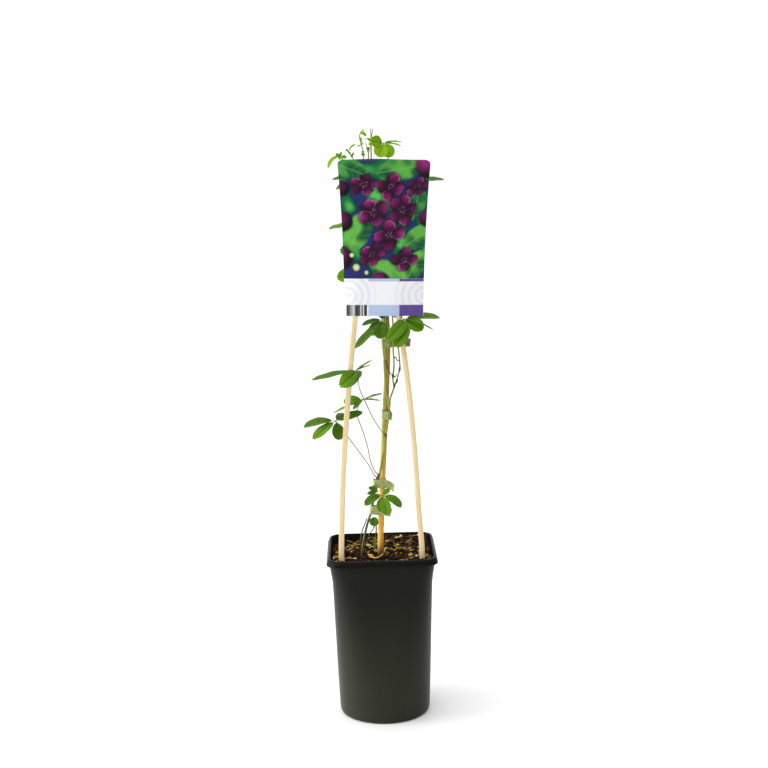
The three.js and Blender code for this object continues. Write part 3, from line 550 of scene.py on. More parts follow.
def bark_chips(s):
    """Slivers from nearly black through brown to gold and cream; tone says which one."""
    fibre = s.noise(s.place((900, 900, 900)), 1, 2)
    base = s.ramp(s.attribute("tone"), (0.0, 10, 5, 2), (0.42, 40, 22, 7), (0.66, 108, 70, 20),
                  (0.84, 204, 156, 62), (1.0, 238, 212, 150))
    base = s.over(base, (s.step(fibre, 0.3, 0.7, 0.0, 0.35), 40, 22, 10))
    return surface(base, None, s.bump(fibre, 0.5, 0.0003))


def golden_bark(s):
    streaks = s.noise(s.place((90, 600, 600)), 1, 3)
    base = s.ramp(streaks, (0.2, 150, 98, 30), (0.45, 222, 172, 72), (0.8, 246, 214, 128))
    return surface(base, None, s.bump(streaks, 0.5, 0.0003))


def cane_bamboo(s):
    """Orange-tan cane, green on its left higher up, purple brown where it enters the mix."""
    right, _, height = s.split(s.here())
    streaks = s.noise(s.place((520, 520, 9)), 1, 4, 0.6)
    blotches = s.noise(s.place((60, 60, 14)), 1, 4, 0.6)
    streaked = s.step(streaks, 0.3, 0.72)
    warm = s.blend(streaked, color(240, 188, 72), color(214, 154, 50))
    golden = s.blend(streaked, color(206, 170, 54), color(170, 134, 38))
    green = s.blend(streaked, color(166, 138, 34), color(128, 106, 22))
    base = s.blend(s.step(height, *CANE_GOLDEN), warm, golden)
    base = s.blend(s.step(height, *CANE_GREEN), base, green)
    middle = s.math("MULTIPLY_ADD", height, 0.0586, -0.0135)
    across = s.plus(s.minus(right, middle), s.times(blotches, 0.003))
    higher_up = s.step(height, *CANE_SIDES_FROM)
    left = s.times(s.step(across, 0.0022, 0.0004, 0, 0.8), higher_up)
    edge = s.times(s.step(across, 0.0022, 0.0042, 0, 0.75), higher_up)
    damp = s.step(s.plus(height, s.times(blotches, 0.016)), *CANE_DAMP, 1, 0)
    base = s.over(base, (left, 138, 146, 38), (edge, 176, 118, 36),
                  (s.step(blotches, 0.58, 0.76, 0, 0.4), 148, 86, 28), (damp, 58, 28, 28))
    return surface(base, s.step(blotches, 0.3, 0.7, 0.42, 0.62), s.bump(streaks, 0.35, 0.0004))


def split_bamboo(s):
    """Pale split face with long grain and a yellow rind along one edge; across runs from -1 to 1."""
    across = s.attribute("across")
    _, depth, height = s.split(s.here())
    grain_place = s.add("CombineXYZ", s.times(across, 6.5), s.times(depth, 900), s.times(height, 11))
    grain = s.noise(grain_place, 1, 5, 0.62)
    fine = s.noise(s.vector("MULTIPLY", grain_place, (4, 4, 3)), 1, 2)
    base = s.over(s.blend(s.step(grain, 0.34, 0.7), color(231, 212, 174), color(210, 183, 138)),
                  (s.step(across, 0.0, -0.6, 0, 0.6), 216, 190, 118),
                  (s.step(fine, 0.66, 0.78, 0, 0.4), 160, 112, 62))
    return surface(base, s.step(grain, 0.3, 0.7, 0.5, 0.68), s.bump(grain, 0.35, 0.0004))


def tie_tape(s):
    """Grey-green stretch tape: fine lines along it, whitish stretch marks, and painted shade over the top
    tie's far end.
    """
    right, _, height = s.split(s.here())
    lines = s.noise(s.place((40, 40, 1500)), 1, 2)
    clouds = s.noise(s.place(), 330, 4, 0.6)
    # Painted shade darkens the loose end of the top tie.
    far_end_shade = s.times(s.step(right, *FAR_END_SHADE, 0, 0.75), s.step(height, *TOP_TIE))
    base = s.over(s.blend(s.step(clouds, 0.32, 0.7), color(132, 146, 70), color(180, 188, 118)),
                  (s.step(lines, 0.4, 0.7, 0, 0.35), 206, 210, 164), (far_end_shade, 84, 90, 52))
    # Each tie is made a little lighter or darker, by its height.
    tone_by_tie = s.ramp(s.add("MapRange", height, *TIES_SPAN), (0.1, 224, 224, 228), (0.17, 255, 255, 255),
                 (0.35, 255, 255, 255), (0.5, 214, 220, 200), (0.9, 222, 230, 214))
    base = s.blend(1.0, base, tone_by_tie, mode="MULTIPLY")
    return surface(base, s.step(clouds, 0.3, 0.7, 0.26, 0.46), s.bump(s.plus(lines, clouds), 0.35, 0.0003))


def stem_bark(young, old):
    """Green stem, dark low down and brown at its nodes; node says how close the nearest one is."""

    def paint(s):
        ribs = s.noise(s.place((700, 700, 60)), 1, 3)
        patches = s.noise(s.place(), 90, 3)
        low_down = s.step(s.split(s.here())[2], *STEM_DARK, 0.9, 0)
        base = s.over(s.blend(s.step(patches, 0.35, 0.7), young, old),
                      (s.step(ribs, 0.45, 0.8, 0, 0.35), 150, 160, 70), (low_down, 58, 66, 26),
                      (s.step(s.attribute("node"), 0.1, 0.7), 50, 28, 12))
        return surface(base, s.step(ribs, 0.3, 0.7, 0.45, 0.62), s.bump(ribs, 0.3, 0.0003))

    return paint


def leaf_face(dark, light, vein, vein_share=0.55, mottle=0.5, web=0.13):
    """Leaflet skin: paler midrib, side veins and web along its map, each leaflet with its own tone."""

    def paint(s):
        along, across = s.unrolled()
        side = s.times(s.math("ABSOLUTE", s.minus(across, 0.5)), 2)
        midrib = s.step(side, 0.015, 0.07, 1, 0)
        slant = s.minus(along, s.times(s.math("POWER", side, 0.8), 0.2))
        wave = s.math("ABSOLUTE", s.math("SINE", s.times(slant, 26)))
        branch = s.times(s.step(wave, 0.02, 0.17, 1, 0), s.step(side, 0.75, 1, 1, 0))
        cells = s.add("TexVoronoi", s.place(), None, 620, feature="DISTANCE_TO_EDGE")
        net = s.step(cells, 0.01, 0.09, web, 0)
        blotch = s.noise(s.place(), 95, 4, 0.6)
        tone = s.plus(s.times(s.attribute("tone"), 0.75), s.times(blotch, mottle))
        base = s.blend(s.step(tone, 0.15, 0.55 + mottle), dark, light)
        for share in (net, s.times(branch, vein_share * 0.6), s.times(midrib, vein_share)):
            base = s.blend(share, base, vein)
        relief = s.minus(1, s.math("MAXIMUM", midrib, s.times(branch, 0.6)))
        return surface(base, s.step(blotch, 0.3, 0.7, 0.38, 0.54), s.bump(s.minus(relief, net), 0.4, 0.0004))

    return paint


# The hood's print: blossoms and leaves of its own, placed in millimetres from the picture's lower left.
PICTURE = (96, 137)
PRINT_LEAVES = [(18, 54, 30, 62, 0.9), (88, 48, 25, 35, 0.8), (66, 126, 28, 12, 0.8), (12, 126, 24, -25, 0.5),
                (54, 6, 28, -28, 0.9), (84, 88, 22, 80, 0.6), (84, 14, 24, 60, 1.0)]
SOFT_PETALS = [(96, 130, 17, 1.0), (1, 66, 13, 0.45), (-2, 24, 15, 0.7), (98, 70, 12, 0.3), (44, -3, 12, 0.6),
               (2, 104, 10, 0.2)]
LIME_BERRIES = [(15, 13, 4.6), (25, 20, 3.4), (10, 27, 3.0), (27, 7, 2.8)]
BLOSSOMS = [(26, 108, 16, 10, 0.75, 0.7, 5), (72, 22, 16, 15, 0.8, 0.6, 4), (84, 106, 14, 30, 0.7, 0.6, 5),
            (55, 105, 17, 52, 0.8, 0.9, 4), (34, 28, 17, 34, 0.7, 0.8, 5), (36, 76, 18, 28, 0.9, 1.0, 4),
            (68, 79, 19, 80, 0.8, 0.85, 5), (54, 50, 19, 40, 0.85, 1.0, 4)]

# Its other fields, as shares of the hood's height and width.
PICTURE_FOOT = 0.24
UPPER_STRIP = (0.222, PICTURE_FOOT)
LOWER_STRIP = (-0.1, 0.0716)
BLUE_BLOCK = (0.304, 0.692)
PURPLE_BLOCK = (0.692, 0.996)
BARS = (0.025, 0.284)
FIELD_ROWS = (0.3, 0.93)
FIELD_COLUMNS = (0.08, 0.92)
SOFT_EDGE = 0.003
BAR_TONES = [(0.0, 44), (0.12, 72), (0.36, 186), (0.4, 176), (0.43, 66), (0.55, 58), (0.66, 92), (0.69, 205),
             (0.72, 205), (0.745, 86), (0.79, 84), (0.81, 206), (0.85, 206), (0.875, 46)]
ARC_MIDDLES = [(0.02, 0.13), (0.5, 0.13)]


def local_place(s, where, x, y, turn, size, squash=1.0):
    """Place on a motif of this size: its middle at (x, y), turned, and narrowed by the view."""
    return s.add("Mapping", where, (x, y, 0), (0, 0, math.radians(turn)), (size, size * squash, size),
                 vector_type="TEXTURE")


def far_from(s, where, x, y, size):
    """Distance from a point of the picture, in sizes of the motif that stands there."""
    return s.math("DIVIDE", s.vector("DISTANCE", where, (x, y, 0), out=1), size)


def blossom_layer(s, where, base, x, y, size, turn, squash, glow, petals):
    """One blossom of broad cupped petals over the base colour, some lit and some tucked in shade."""
    seen = local_place(s, where, x, y, turn, size, squash)
    right, over, _ = s.split(s.add("VectorRotate", seen, None, None, turn * 0.7, rotation_type="Z_AXIS"))
    part = 2 * math.pi / petals
    angle = s.plus(s.math("ARCTAN2", over, right), 2 * math.pi)
    folded = s.minus(s.math("MODULO", angle, part), part / 2)
    number = s.math("FLOOR", s.math("DIVIDE", angle, part))
    lit = s.math("SINE", s.math("MULTIPLY_ADD", number, 2.3, turn))
    reach = s.vector("LENGTH", seen, out=1)
    along = s.times(reach, s.math("COSINE", folded))
    aside = s.times(reach, s.math("SINE", folded))
    narrow = 0.94 if petals == 4 else 1.1
    petal_place = s.add("CombineXYZ", s.minus(along, 0.54), s.times(aside, narrow), 0.0)
    from_middle = s.vector("LENGTH", petal_place, out=1)
    edge = s.times(s.step(from_middle, 0.3, 0.43), s.step(aside, 0.1, -0.2, 0, 0.5))
    veins = s.noise(s.vector("MULTIPLY", petal_place, (3, 16, 1)), 1, 1)
    petal = s.ramp(along, (0.04, 14, 3, 14), (0.42, 58, 8, 44),
                   (0.85, int(76 + 60 * glow), int(12 + 20 * glow), int(62 + 46 * glow)))
    petal = s.over(petal, (s.step(aside, -0.02, 0.36, 0, 0.85), 30, 4, 28),
                   (s.step(lit, -0.1, -0.9, 0, 0.6), 28, 4, 26),
                   (s.times(edge, s.step(lit, -0.2, 0.8)), 186, 104, 164),
                   (s.step(veins, 0.45, 0.7, 0, 0.4), 40, 4, 32))
    shadowed = s.over(base, (s.step(from_middle, 0.45, 0.66, 0.7, 0), 8, 20, 22))
    base = s.blend(s.step(from_middle, 0.43, 0.48, 1, 0), shadowed, petal)
    spokes = s.step(s.math("COSINE", s.times(angle, 6)), 0.7, 0.96)
    stamens = s.times(spokes, s.step(reach, 0.24, 0.3, 0.6, 0))
    return s.over(base, (stamens, 150, 104, 140), (s.step(reach, 0.06, 0.14, 1, 0), 10, 3, 10))


def print_leaf_layer(s, where, base, x, y, size, turn, light):
    """One broad leaf, a little out of focus, with a pale rib and side veins over the base colour."""
    along, over, _ = s.split(local_place(s, where, x, y, turn, size))
    half = s.times(s.minus(1, s.math("POWER", s.math("ABSOLUTE", along), 2.2)), 0.5)
    away = s.math("ABSOLUTE", over)
    shadow = s.plus(s.noise(where, 0.045, 1), s.times(over, -0.22))
    slant = s.math("SINE", s.times(s.minus(along, s.times(away, 0.7)), 22))
    lines = s.math("MAXIMUM", s.step(away, 0.01, 0.05, 0.35, 0), s.step(slant, 0.8, 1.0, 0, 0.14))
    bright = color(int(34 + 66 * light), int(120 + 54 * light), 64)
    body = s.over(bright, (s.step(shadow, 0.36, 0.64), 12, 82, 46), (lines, 120, 180, 100))
    return s.blend(s.step(s.minus(half, away), -0.04, 0.09), base, body)


def soft_petal_layer(s, where, base, x, y, size, glow):
    """A petal close to the viewer: large, dark and out of focus."""
    lit = far_from(s, where, x - size * 0.3, y + size * 0.3, size)
    ball = s.ramp(lit, (0.0, int(70 + 80 * glow), int(16 + 24 * glow), int(60 + 60 * glow)), (0.8, 46, 8, 40),
                  (1.0, 18, 4, 20))
    return s.blend(s.step(far_from(s, where, x, y, size), 0.78, 1.06, 1, 0), base, ball)


def berry_layer(s, where, base, x, y, size):
    distance = far_from(s, where, x, y, size)
    berry = s.ramp(distance, (0.0, 226, 232, 178), (0.9, 168, 190, 96))
    return s.blend(s.step(distance, 0.6, 1.1, 0.9, 0), base, berry)


def picture(s, along, up):
    """Plum blossoms and green leaves in focus, before a blurred ground of green and navy."""
    height = s.add("MapRange", up, PICTURE_FOOT, 1.0, 0.0, PICTURE[1])
    where = s.add("CombineXYZ", s.times(along, PICTURE[0]), height, 0.0)
    clouds = s.noise(where, 0.034, 1, 0.4)
    ground = s.ramp(clouds, (0.4, 36, 38, 98), (0.49, 16, 50, 66), (0.55, 16, 106, 52), (0.65, 80, 176, 78))
    wander = s.vector("SUBTRACT", s.add("TexNoise", where, None, 0.16, 2, out=1), (0.5, 0.5, 0.5))
    bent = s.vector("ADD", where, s.vector("SCALE", wander, None, None, 7.0))
    for layer, motifs in ((print_leaf_layer, PRINT_LEAVES), (soft_petal_layer, SOFT_PETALS),
                          (berry_layer, LIME_BERRIES)):
        for motif in motifs:
            ground = layer(s, where, ground, *motif)
    for blossom in BLOSSOMS:
        ground = blossom_layer(s, bent, ground, *blossom)
    return ground


def inside(s, value, low, high):
    """1 where the value lies between low and high, with soft edges."""
    above = s.step(value, low - SOFT_EDGE, low + SOFT_EDGE)
    return s.times(above, s.step(value, high - SOFT_EDGE, high + SOFT_EDGE, 1, 0))


def arcs(s, along, up, centre):
    """Soft grey rings round a point of the white band."""
    point = s.add("CombineXYZ", s.times(along, 0.5), up, 0.0)
    distance = s.vector("DISTANCE", point, (*centre, 0), out=1)
    rings = s.step(s.math("SINE", s.times(distance, 150)), -0.4, 0.8)
    return s.times(rings, s.step(distance, 0.15, 0.2, 1, 0))


def strip(s, along, up, base, low, high):
    """Pale blue and purple blocks between two heights."""
    row = inside(s, up, low, high)
    return s.over(base, (s.times(row, inside(s, along, *BLUE_BLOCK)), 172, 186, 216),
                  (s.times(row, inside(s, along, *PURPLE_BLOCK)), 92, 72, 138))


def tone_bars(s, along):
    """Row of grey bars from dark to pale, in place of printed lettering."""
    return s.ramp(s.add("MapRange", along, *BARS), *[(place, tone, tone, tone) for place, tone in BAR_TONES])


def hood_print(s):
    along, rows = s.unrolled()
    up = s.math("POWER", rows, UNEVEN)
    rings = s.math("MAXIMUM", *[arcs(s, along, up, middle) for middle in ARC_MIDDLES])
    base = s.over(color(229, 229, 234), (s.times(rings, 0.5), 202, 203, 216))
    base = strip(s, along, up, base, *UPPER_STRIP)
    base = strip(s, along, up, base, *LOWER_STRIP)
    field = s.times(inside(s, up, *LOWER_STRIP), inside(s, along, *BARS))
    base = s.blend(field, base, tone_bars(s, along))
    in_picture = s.step(up, PICTURE_FOOT - 0.001, PICTURE_FOOT + 0.001)
    return {"Base Color": s.blend(in_picture, base, picture(s, along, up))}


def hood_back_print(s):
    """Plain back: white with a pale green field and the same strip below."""
    along, rows = s.unrolled()
    up = s.math("POWER", rows, UNEVEN)
    field = s.times(inside(s, up, *FIELD_ROWS), inside(s, along, *FIELD_COLUMNS))
    tint = s.blend(s.noise(s.place(), 26, 2), color(160, 190, 160), color(190, 204, 182))
    return {"Base Color": strip(s, along, up, s.blend(field, color(212, 212, 217), tint), *LOWER_STRIP)}


def make_skins():
    """All materials, by the short names that the pieces ask for."""
    green = leaf_face(color(50, 86, 6), color(92, 138, 8), color(126, 164, 46))
    under = leaf_face(color(80, 112, 32), color(112, 144, 42), color(144, 172, 76), 0.7)
    lime = leaf_face(color(96, 144, 2), color(128, 170, 4), color(150, 188, 36), 0.35, 0.15, 0.03)
    lime_under = leaf_face(color(106, 150, 10), color(140, 180, 20), color(168, 200, 66), 0.4, 0.15, 0.03)
    thin = {"Specular_IOR_Level": 0.12, "Subsurface_Weight": 0.1, "Subsurface_Scale": 0.0012,
            "Subsurface_Radius": (0.5, 1.0, 0.15)}
    return {
        "pot": material("pot_plastic", pot_plastic, IOR=1.2),
        "mix": material("potting_mix", potting_mix, Specular_IOR_Level=0.15),
        "chips": material("bark_chips", bark_chips, Roughness=0.85, Specular_IOR_Level=0.15),
        "curl": material("golden_bark", golden_bark, Roughness=0.55),
        "cane": material("cane_bamboo", cane_bamboo),
        "split": material("split_bamboo", split_bamboo),
        "tape": material("tie_tape", tie_tape, Subsurface_Weight=0.15, Subsurface_Scale=0.002),
        "stem": material("stem_bark", stem_bark(color(150, 158, 46), color(108, 116, 28))),
        "young_stem": material("young_stem", stem_bark(color(128, 152, 26), color(104, 130, 22))),
        "petiole": material("petiole_skin", stem_bark(color(126, 132, 52), color(98, 104, 38))),
        "leaf": material("leaf_green", green, **thin),
        "leaf_under": material("leaf_underside", under, **thin),
        "lime": material("leaf_lime", lime, Specular_IOR_Level=0.12),
        "lime_under": material("lime_underside", lime_under, Specular_IOR_Level=0.12),
        "print": material("hood_print", hood_print, Roughness=0.32, Specular_IOR_Level=0.2, Coat_Weight=0.05),
        "back_print": material("hood_back_print", hood_back_print, Roughness=0.3, Coat_Weight=0.25),
        "film": material("hood_film", lambda s: {"Roughness": s.noise(s.place(), 60)},
                         Base_Color=color(240, 240, 242)),
    }


SKINS = make_skins()


# Pot


def ring_verts(piece):
    return [v for v in bmesh.from_edit_mesh(piece.data).verts if v.select]


def ring_reach(direction, half, corner):
    """Distance from the axis to a square with round corners, along a level unit direction."""
    long, short = sorted((abs(direction.x), abs(direction.y)), reverse=True)
    straight = half - corner
    if half / long * short <= straight:
        return half / long
    middle = straight * (long + short)
    return middle + math.sqrt(middle**2 - 2 * straight**2 + corner**2)


def draw_ring(piece, half, z, corner):
    """Extrude the selected ring to a height, as a square of this half width with round corners."""
    now = ring_verts(piece)[0].co.z
    bpy.ops.mesh.extrude_edges_move(TRANSFORM_OT_translate={"value": (0, 0, z - now)})
    for vertex in ring_verts(piece):
        direction = vertex.co.xy.normalized()
        vertex.co.xy = direction * ring_reach(direction, half, corner)
    bmesh.update_edit_mesh(piece.data)


def square_ring(name, half, corner, z, cuts=13):
    """Closed ring of edges: a square with round corners and evenly cut sides, all selected."""
    bpy.ops.mesh.primitive_plane_add(size=2 * half, location=(0, 0, z))
    piece = new_piece(name)
    start_edit(piece)
    bpy.ops.mesh.bevel(offset=corner, segments=8, affect="VERTICES")
    bpy.ops.mesh.select_mode(type="EDGE")
    bpy.ops.mesh.select_all(action="DESELECT")
    mesh = bmesh.from_edit_mesh(piece.data)
    for edge in mesh.edges:
        edge.select_set(edge.calc_length() > half)
    bmesh.update_edit_mesh(piece.data)
    bpy.ops.mesh.subdivide(number_cuts=cuts)
    take_all()
    bpy.ops.mesh.delete(type="ONLY_FACE")
    bpy.ops.mesh.select_mode(type="VERT")
    take_all()
    return piece


def corner_at(z, half):
    """Corner radius of the wall, from nearly a circle at the foot to the rim's round square."""
    return half * min(0.995, 1 - CORNER_SHARE * (z / POT_HEIGHT) ** 1.6)


def wall_half(z):
    return FOOT_HALF + (NECK_HALF - FOOT_HALF) * z / NECK + FLARE * smooth_step(NECK - FLARE_HEIGHT, NECK, z)


def draw_wall(piece, levels, inset, fuller=0.0):
    """Draw the selected ring down the wall's levels, this far inside or outside its outer face."""
    for z in levels:
        half = wall_half(z) - inset + fuller * min(1, z / FULL_FROM)
        draw_ring(piece, half, z, corner_at(z, half))


def make_pot():
    """Rim first: the outer wall is drawn down to the foot, then the inner wall to the floor."""
    corner = RIM_HALF * (1 - CORNER_SHARE)
    pot = square_ring("pot_body", RIM_HALF - MOUTH_INSET, corner, POT_HEIGHT)
    for inset, z in LIP_RINGS:
        draw_ring(pot, RIM_HALF - inset, z, corner)
    draw_ring(pot, wall_half(NECK) + UNDER_LIP[0], NECK + UNDER_LIP[1], corner)
    draw_wall(pot, WALL_LEVELS, 0.0, FULLER)
    for inset, z in FOOT_RINGS:
        draw_ring(pot, FOOT_HALF - inset, z, FOOT_HALF - inset)
    bpy.ops.mesh.edge_face_add()
    pick(pot, lambda co: abs(co.z - POT_HEIGHT) < TOUCH)
    for inset, z in MOUTH_RINGS:
        draw_ring(pot, RIM_HALF - inset, z, corner)
    draw_wall(pot, WALL_LEVELS, WALL)
    draw_ring(pot, FOOT_HALF - 2 * WALL, FLOOR, FOOT_HALF - 2 * WALL)
    bpy.ops.mesh.edge_face_add()
    end_edit()
    tidy_normals(pot)
    drill_holes(pot)
    dress(pot, "pot", 35)
    install(pot, "pot_plastic", "pot")


def drill_holes(pot):
    """Drain holes through the floor."""
    drills = []
    for index in range(HOLE_COUNT):
        angle = (index + 0.5) * 2 * math.pi / HOLE_COUNT
        place = (HOLE_CIRCLE * math.cos(angle), HOLE_CIRCLE * math.sin(angle), DRILL_MIDDLE)
        bpy.ops.mesh.primitive_cylinder_add(vertices=24, radius=HOLE_RADIUS, depth=DRILL_DEPTH,
                                            location=place)
        drills.append(new_piece("drill"))
    drill = join("drill", drills)
    finish_with(pot, "BOOLEAN", object=drill, operation="DIFFERENCE", solver="EXACT")
    bpy.data.objects.remove(drill)


# Potting mix


def soil_height(x, y):
    """The model's surface, level with a hollow at the back left, and heaped up a little at the back right."""
    away = ((x - HOLLOW[0]) ** 2 + (y - HOLLOW[1]) ** 2) / (2 * HOLLOW_SPREAD**2)
    ripple = BROAD_RIPPLE * math.sin(x * 330 + 1) * math.cos(y * 290)
    ripple += FINE_RIPPLE * math.sin(x * 800 + y * 630)
    heap = HEAP * smooth_step(0.01, 0.05, y) * smooth_step(-0.02, 0.02, x)
    return SOIL_LEVEL - HOLLOW_DEPTH * math.exp(-away) + ripple + heap


def soil_bed():
    """Surface drawn as a grid inside a square ring, laid to height, with sides down to the floor."""
    half = wall_half(SOIL_LEVEL) - WALL - 0.0001
    bed = square_ring("soil_bed", half, half * (1 - CORNER_SHARE), SOIL_LEVEL, cuts=15)
    draw_wall(bed, MIX_LEVELS, WALL + MIX_GAP)
    bpy.ops.mesh.edge_face_add()
    pick(bed, lambda co: co.z > SOIL_LEVEL - SURFACE_BAND)
    bpy.ops.mesh.fill_grid(span=24)
    bpy.ops.mesh.subdivide(number_cuts=3)
    end_edit()
    for vertex in bed.data.vertices:
        if vertex.co.z > SOIL_LEVEL - SURFACE_BAND:
            x, y, _ = vertex.co
            crumb = smooth_noise(Vector((x, y, 0)) * 260) * CRUMB
            crumb += smooth_noise(Vector((x, y, 1)) * 620) * FINE_CRUMB
            vertex.co.z = soil_height(x, y) + crumb
    tidy_normals(bed)
    return bed


def chip_master(name, length, width, thick, bend):
    """One sliver of bark: a block drawn out, tapered to its ends and bent."""
    bpy.ops.mesh.primitive_cube_add(size=1)
    chip = new_piece(name)
    start_edit(chip)
    resize((length, width, thick), (0, 0, 0))
    mesh = bmesh.from_edit_mesh(chip.data)
    bmesh.ops.bisect_plane(mesh, geom=mesh.verts[:] + mesh.edges[:] + mesh.faces[:], plane_co=(0, 0, 0),
                           plane_no=(1, 0, 0))
    bmesh.update_edit_mesh(chip.data)
    pick(chip, lambda co: abs(co.x) < length * 0.1)
    bpy.ops.transform.translate(value=(0, 0, bend))
    resize((1, 1.25, 1.1), (0, 0, bend))
    pick(chip, lambda co: co.x > length * 0.3)
    resize((1, 0.45, 0.5), (length / 2, 0, 0))
    pick(chip, lambda co: co.x < -length * 0.3)
    resize((1, 0.6, 0.6), (-length / 2, 0, 0))
    end_edit()
    return chip


def chip_place(draw, half):
    """Random place on the surface, clear of the cane and of the golden curl."""
    while True:
        x, y = (draw.uniform(-half, half) for _ in range(2))
        corner = min(abs(x), abs(y)) > half - CORNER_CLEAR
        cane = math.hypot(x - CANE_SEAT[0], y - CANE_SEAT[1]) < CANE_CLEAR
        curl = math.hypot((x - CURL_SEAT[0]) / CURL_CLEAR[0], (y - CURL_SEAT[1]) / CURL_CLEAR[1]) < 1
        if not corner and not cane and not curl:
            return x, y


def scatter(masters):
    """Copies of the slivers lying on the surface, each with its own turn, size and tone."""
    draw = random.Random(CHIP_SEED)
    half = wall_half(CHIP_LEVEL) - WALL - CHIP_MARGIN
    limit = half + CHIP_OVERHANG
    vertices, faces, tones = [], [], []
    for _ in range(CHIP_COUNT):
        master = draw.choice(masters)
        x, y = chip_place(draw, half)
        size = draw.uniform(*CHIP_GROWTH)
        turn = (Matrix.Rotation(draw.uniform(0, 2 * math.pi), 4, "Z")
                @ Matrix.Rotation(draw.gauss(0, 0.3), 4, "Y") @ Matrix.Rotation(draw.gauss(0, 0.5), 4, "X"))
        place = Matrix.Translation((x, y, soil_height(x, y) + draw.uniform(*CHIP_LIFT)))
        tone = min(1.0, max(0.0, draw.gauss(*draw.choice(CHIP_TONES))))
        matrix = place @ turn @ Matrix.Scale(size * (PALE_GROWTH if tone > PALE_TONE else 1), 4)
        first = len(vertices)
        for vertex in master.data.vertices:
            x, y, z = matrix @ vertex.co
            vertices.append((max(-limit, min(limit, x)), max(-limit, min(limit, y)), z))
        faces += [[first + index for index in face.vertices] for face in master.data.polygons]
        tones += [tone] * len(master.data.vertices)
    mesh = bpy.data.meshes.new("slivers")
    mesh.from_pydata(vertices, [], faces)
    stamp(mesh, "tone", tones)
    return add_object("slivers", mesh)


def make_soil():
    bed = soil_bed()
    dress(bed, "mix")
    masters = [chip_master(name, *sizes) for name, sizes in CHIP_SIZES.items()]
    slivers = scatter(masters)
    slivers.data.materials.append(SKINS["chips"])
    tidy_normals(slivers)
    for master in masters:
        bpy.data.objects.remove(master)
    install(join("potting_mix_with_bark", [bed, slivers]), "potting_mix", "soil")


def make_bark_curl():
    """Narrow curl of bark: a strip drawn in an arc, widest in its middle, its ends bent up."""
    shares = [step / CURL_STEPS - 0.5 for step in range(CURL_STEPS + 1)]
    x, y, z = CURL_MIDDLE
    line = [Vector((x + share * CURL_LENGTH, y + CURL_BEND * share * share, z + CURL_RISE * share * share))
            for share in shares]
    bpy.ops.mesh.primitive_plane_add(size=0.001, location=line[0])
    curl = new_piece("golden_bark_curl")
    start_edit(curl)
    bpy.ops.mesh.merge(type="CENTER")
    extrude((0, 0.0004, 0))
    take_all()
    for before, place, share in zip(line, line[1:], shares[1:]):
        extrude(place - before)
        across = [vertex.co.y for vertex in ring_verts(curl)]
        width = CURL_WIDTH * (1 - 1.8 * share * share)
        resize((1, width / max(max(across) - min(across), 1e-6), 1), place)
    end_edit()
    finish_with(curl, "SOLIDIFY", thickness=CURL_SHEET, offset=0)
    finish_with(curl, "SUBSURF", levels=2, render_levels=2)
    dress(curl, "curl", 50)
    install(curl, "bark", "bark_curl")


# Cane and sticks


def make_cane():
    line = route_line(CANE_ROUTE, 26)

    def radius_at(share):
        taper = CANE_RADII[0] + (CANE_RADII[1] - CANE_RADII[0]) * share
        offset = (share * CANE_JOINTS) % 1 - 0.5
        ring = math.exp(-((offset / JOINT_WIDTH) ** 2))
        groove = GROOVE_DEPTH * math.exp(-(((offset + GROOVE_BEFORE) / GROOVE_WIDTH) ** 2))
        return taper + CANE_SWELL * (ring - groove) + CANE_WAVE * math.sin(share * 61)

    cane = rod("bamboo_cane", line, radius_at, 6)
    dress(cane, "cane", 40)
    install(cane, "cane_bamboo", "cane")


def front_plane():
    """Matrix of the leaning plane that the sticks and the hood share."""
    return Matrix.Translation(STICK_FOOT) @ Matrix.Rotation(-STICK_LEAN, 4, "X")


def make_stick(side):
    """Flat split stick: a block drawn out along its route, each stretch a little uneven."""
    draw = random.Random(side)
    line = route_line(STICK_ROUTES[side], 7)
    width, depth = STICK_SIZE
    now = 0.97
    bpy.ops.mesh.primitive_plane_add(size=1, location=line[0])
    stick = new_piece(f"split_bamboo_{side}")
    start_edit(stick)
    resize((width * now, depth * 0.95, 1), line[0])
    for before, place in zip(line, line[1:]):
        extrude(place - before)
        wanted = draw.uniform(0.95, 1.0)
        resize((wanted / now, 1, 1), place)
        now = wanted
    end_edit()
    tidy_normals(stick)
    finish_with(stick, "BEVEL", width=STICK_EDGE, segments=2, limit_method="ANGLE",
                angle_limit=math.radians(50))
    finish_with(stick, "SUBSURF", levels=1, render_levels=1, subdivision_type="SIMPLE")
    middles = [(point.z, point.x) for point in line]
    outward = 1 if side == "left" else -1

    def across(co):
        low, high = next(((a, b) for a, b in zip(middles, middles[1:]) if co.z <= b[0]), middles[-2:])
        share = (co.z - low[0]) / (high[0] - low[0])
        return outward * (co.x - low[1] - (high[1] - low[1]) * share) / (width / 2)

    stamp_places(stick, "across", across)
    stick.data.transform(front_plane())
    dress(stick, "split", 40)
    install(stick, "split_bamboo", f"split_stick_{side}")


# Hood


def stick_reach(z):
    """Where the two sticks run across the hood at a height above its foot, in the hood's own x."""
    reach = []
    for route in STICK_ROUTES.values():
        line = route_line(route, 6)
        height = min(HOOD_FOOT[1] + z, line[-1].z)
        crossing = next(point for point in line if point.z >= height - 1e-9)
        reach.append(crossing.x - HOOD_FOOT[0])
    return reach


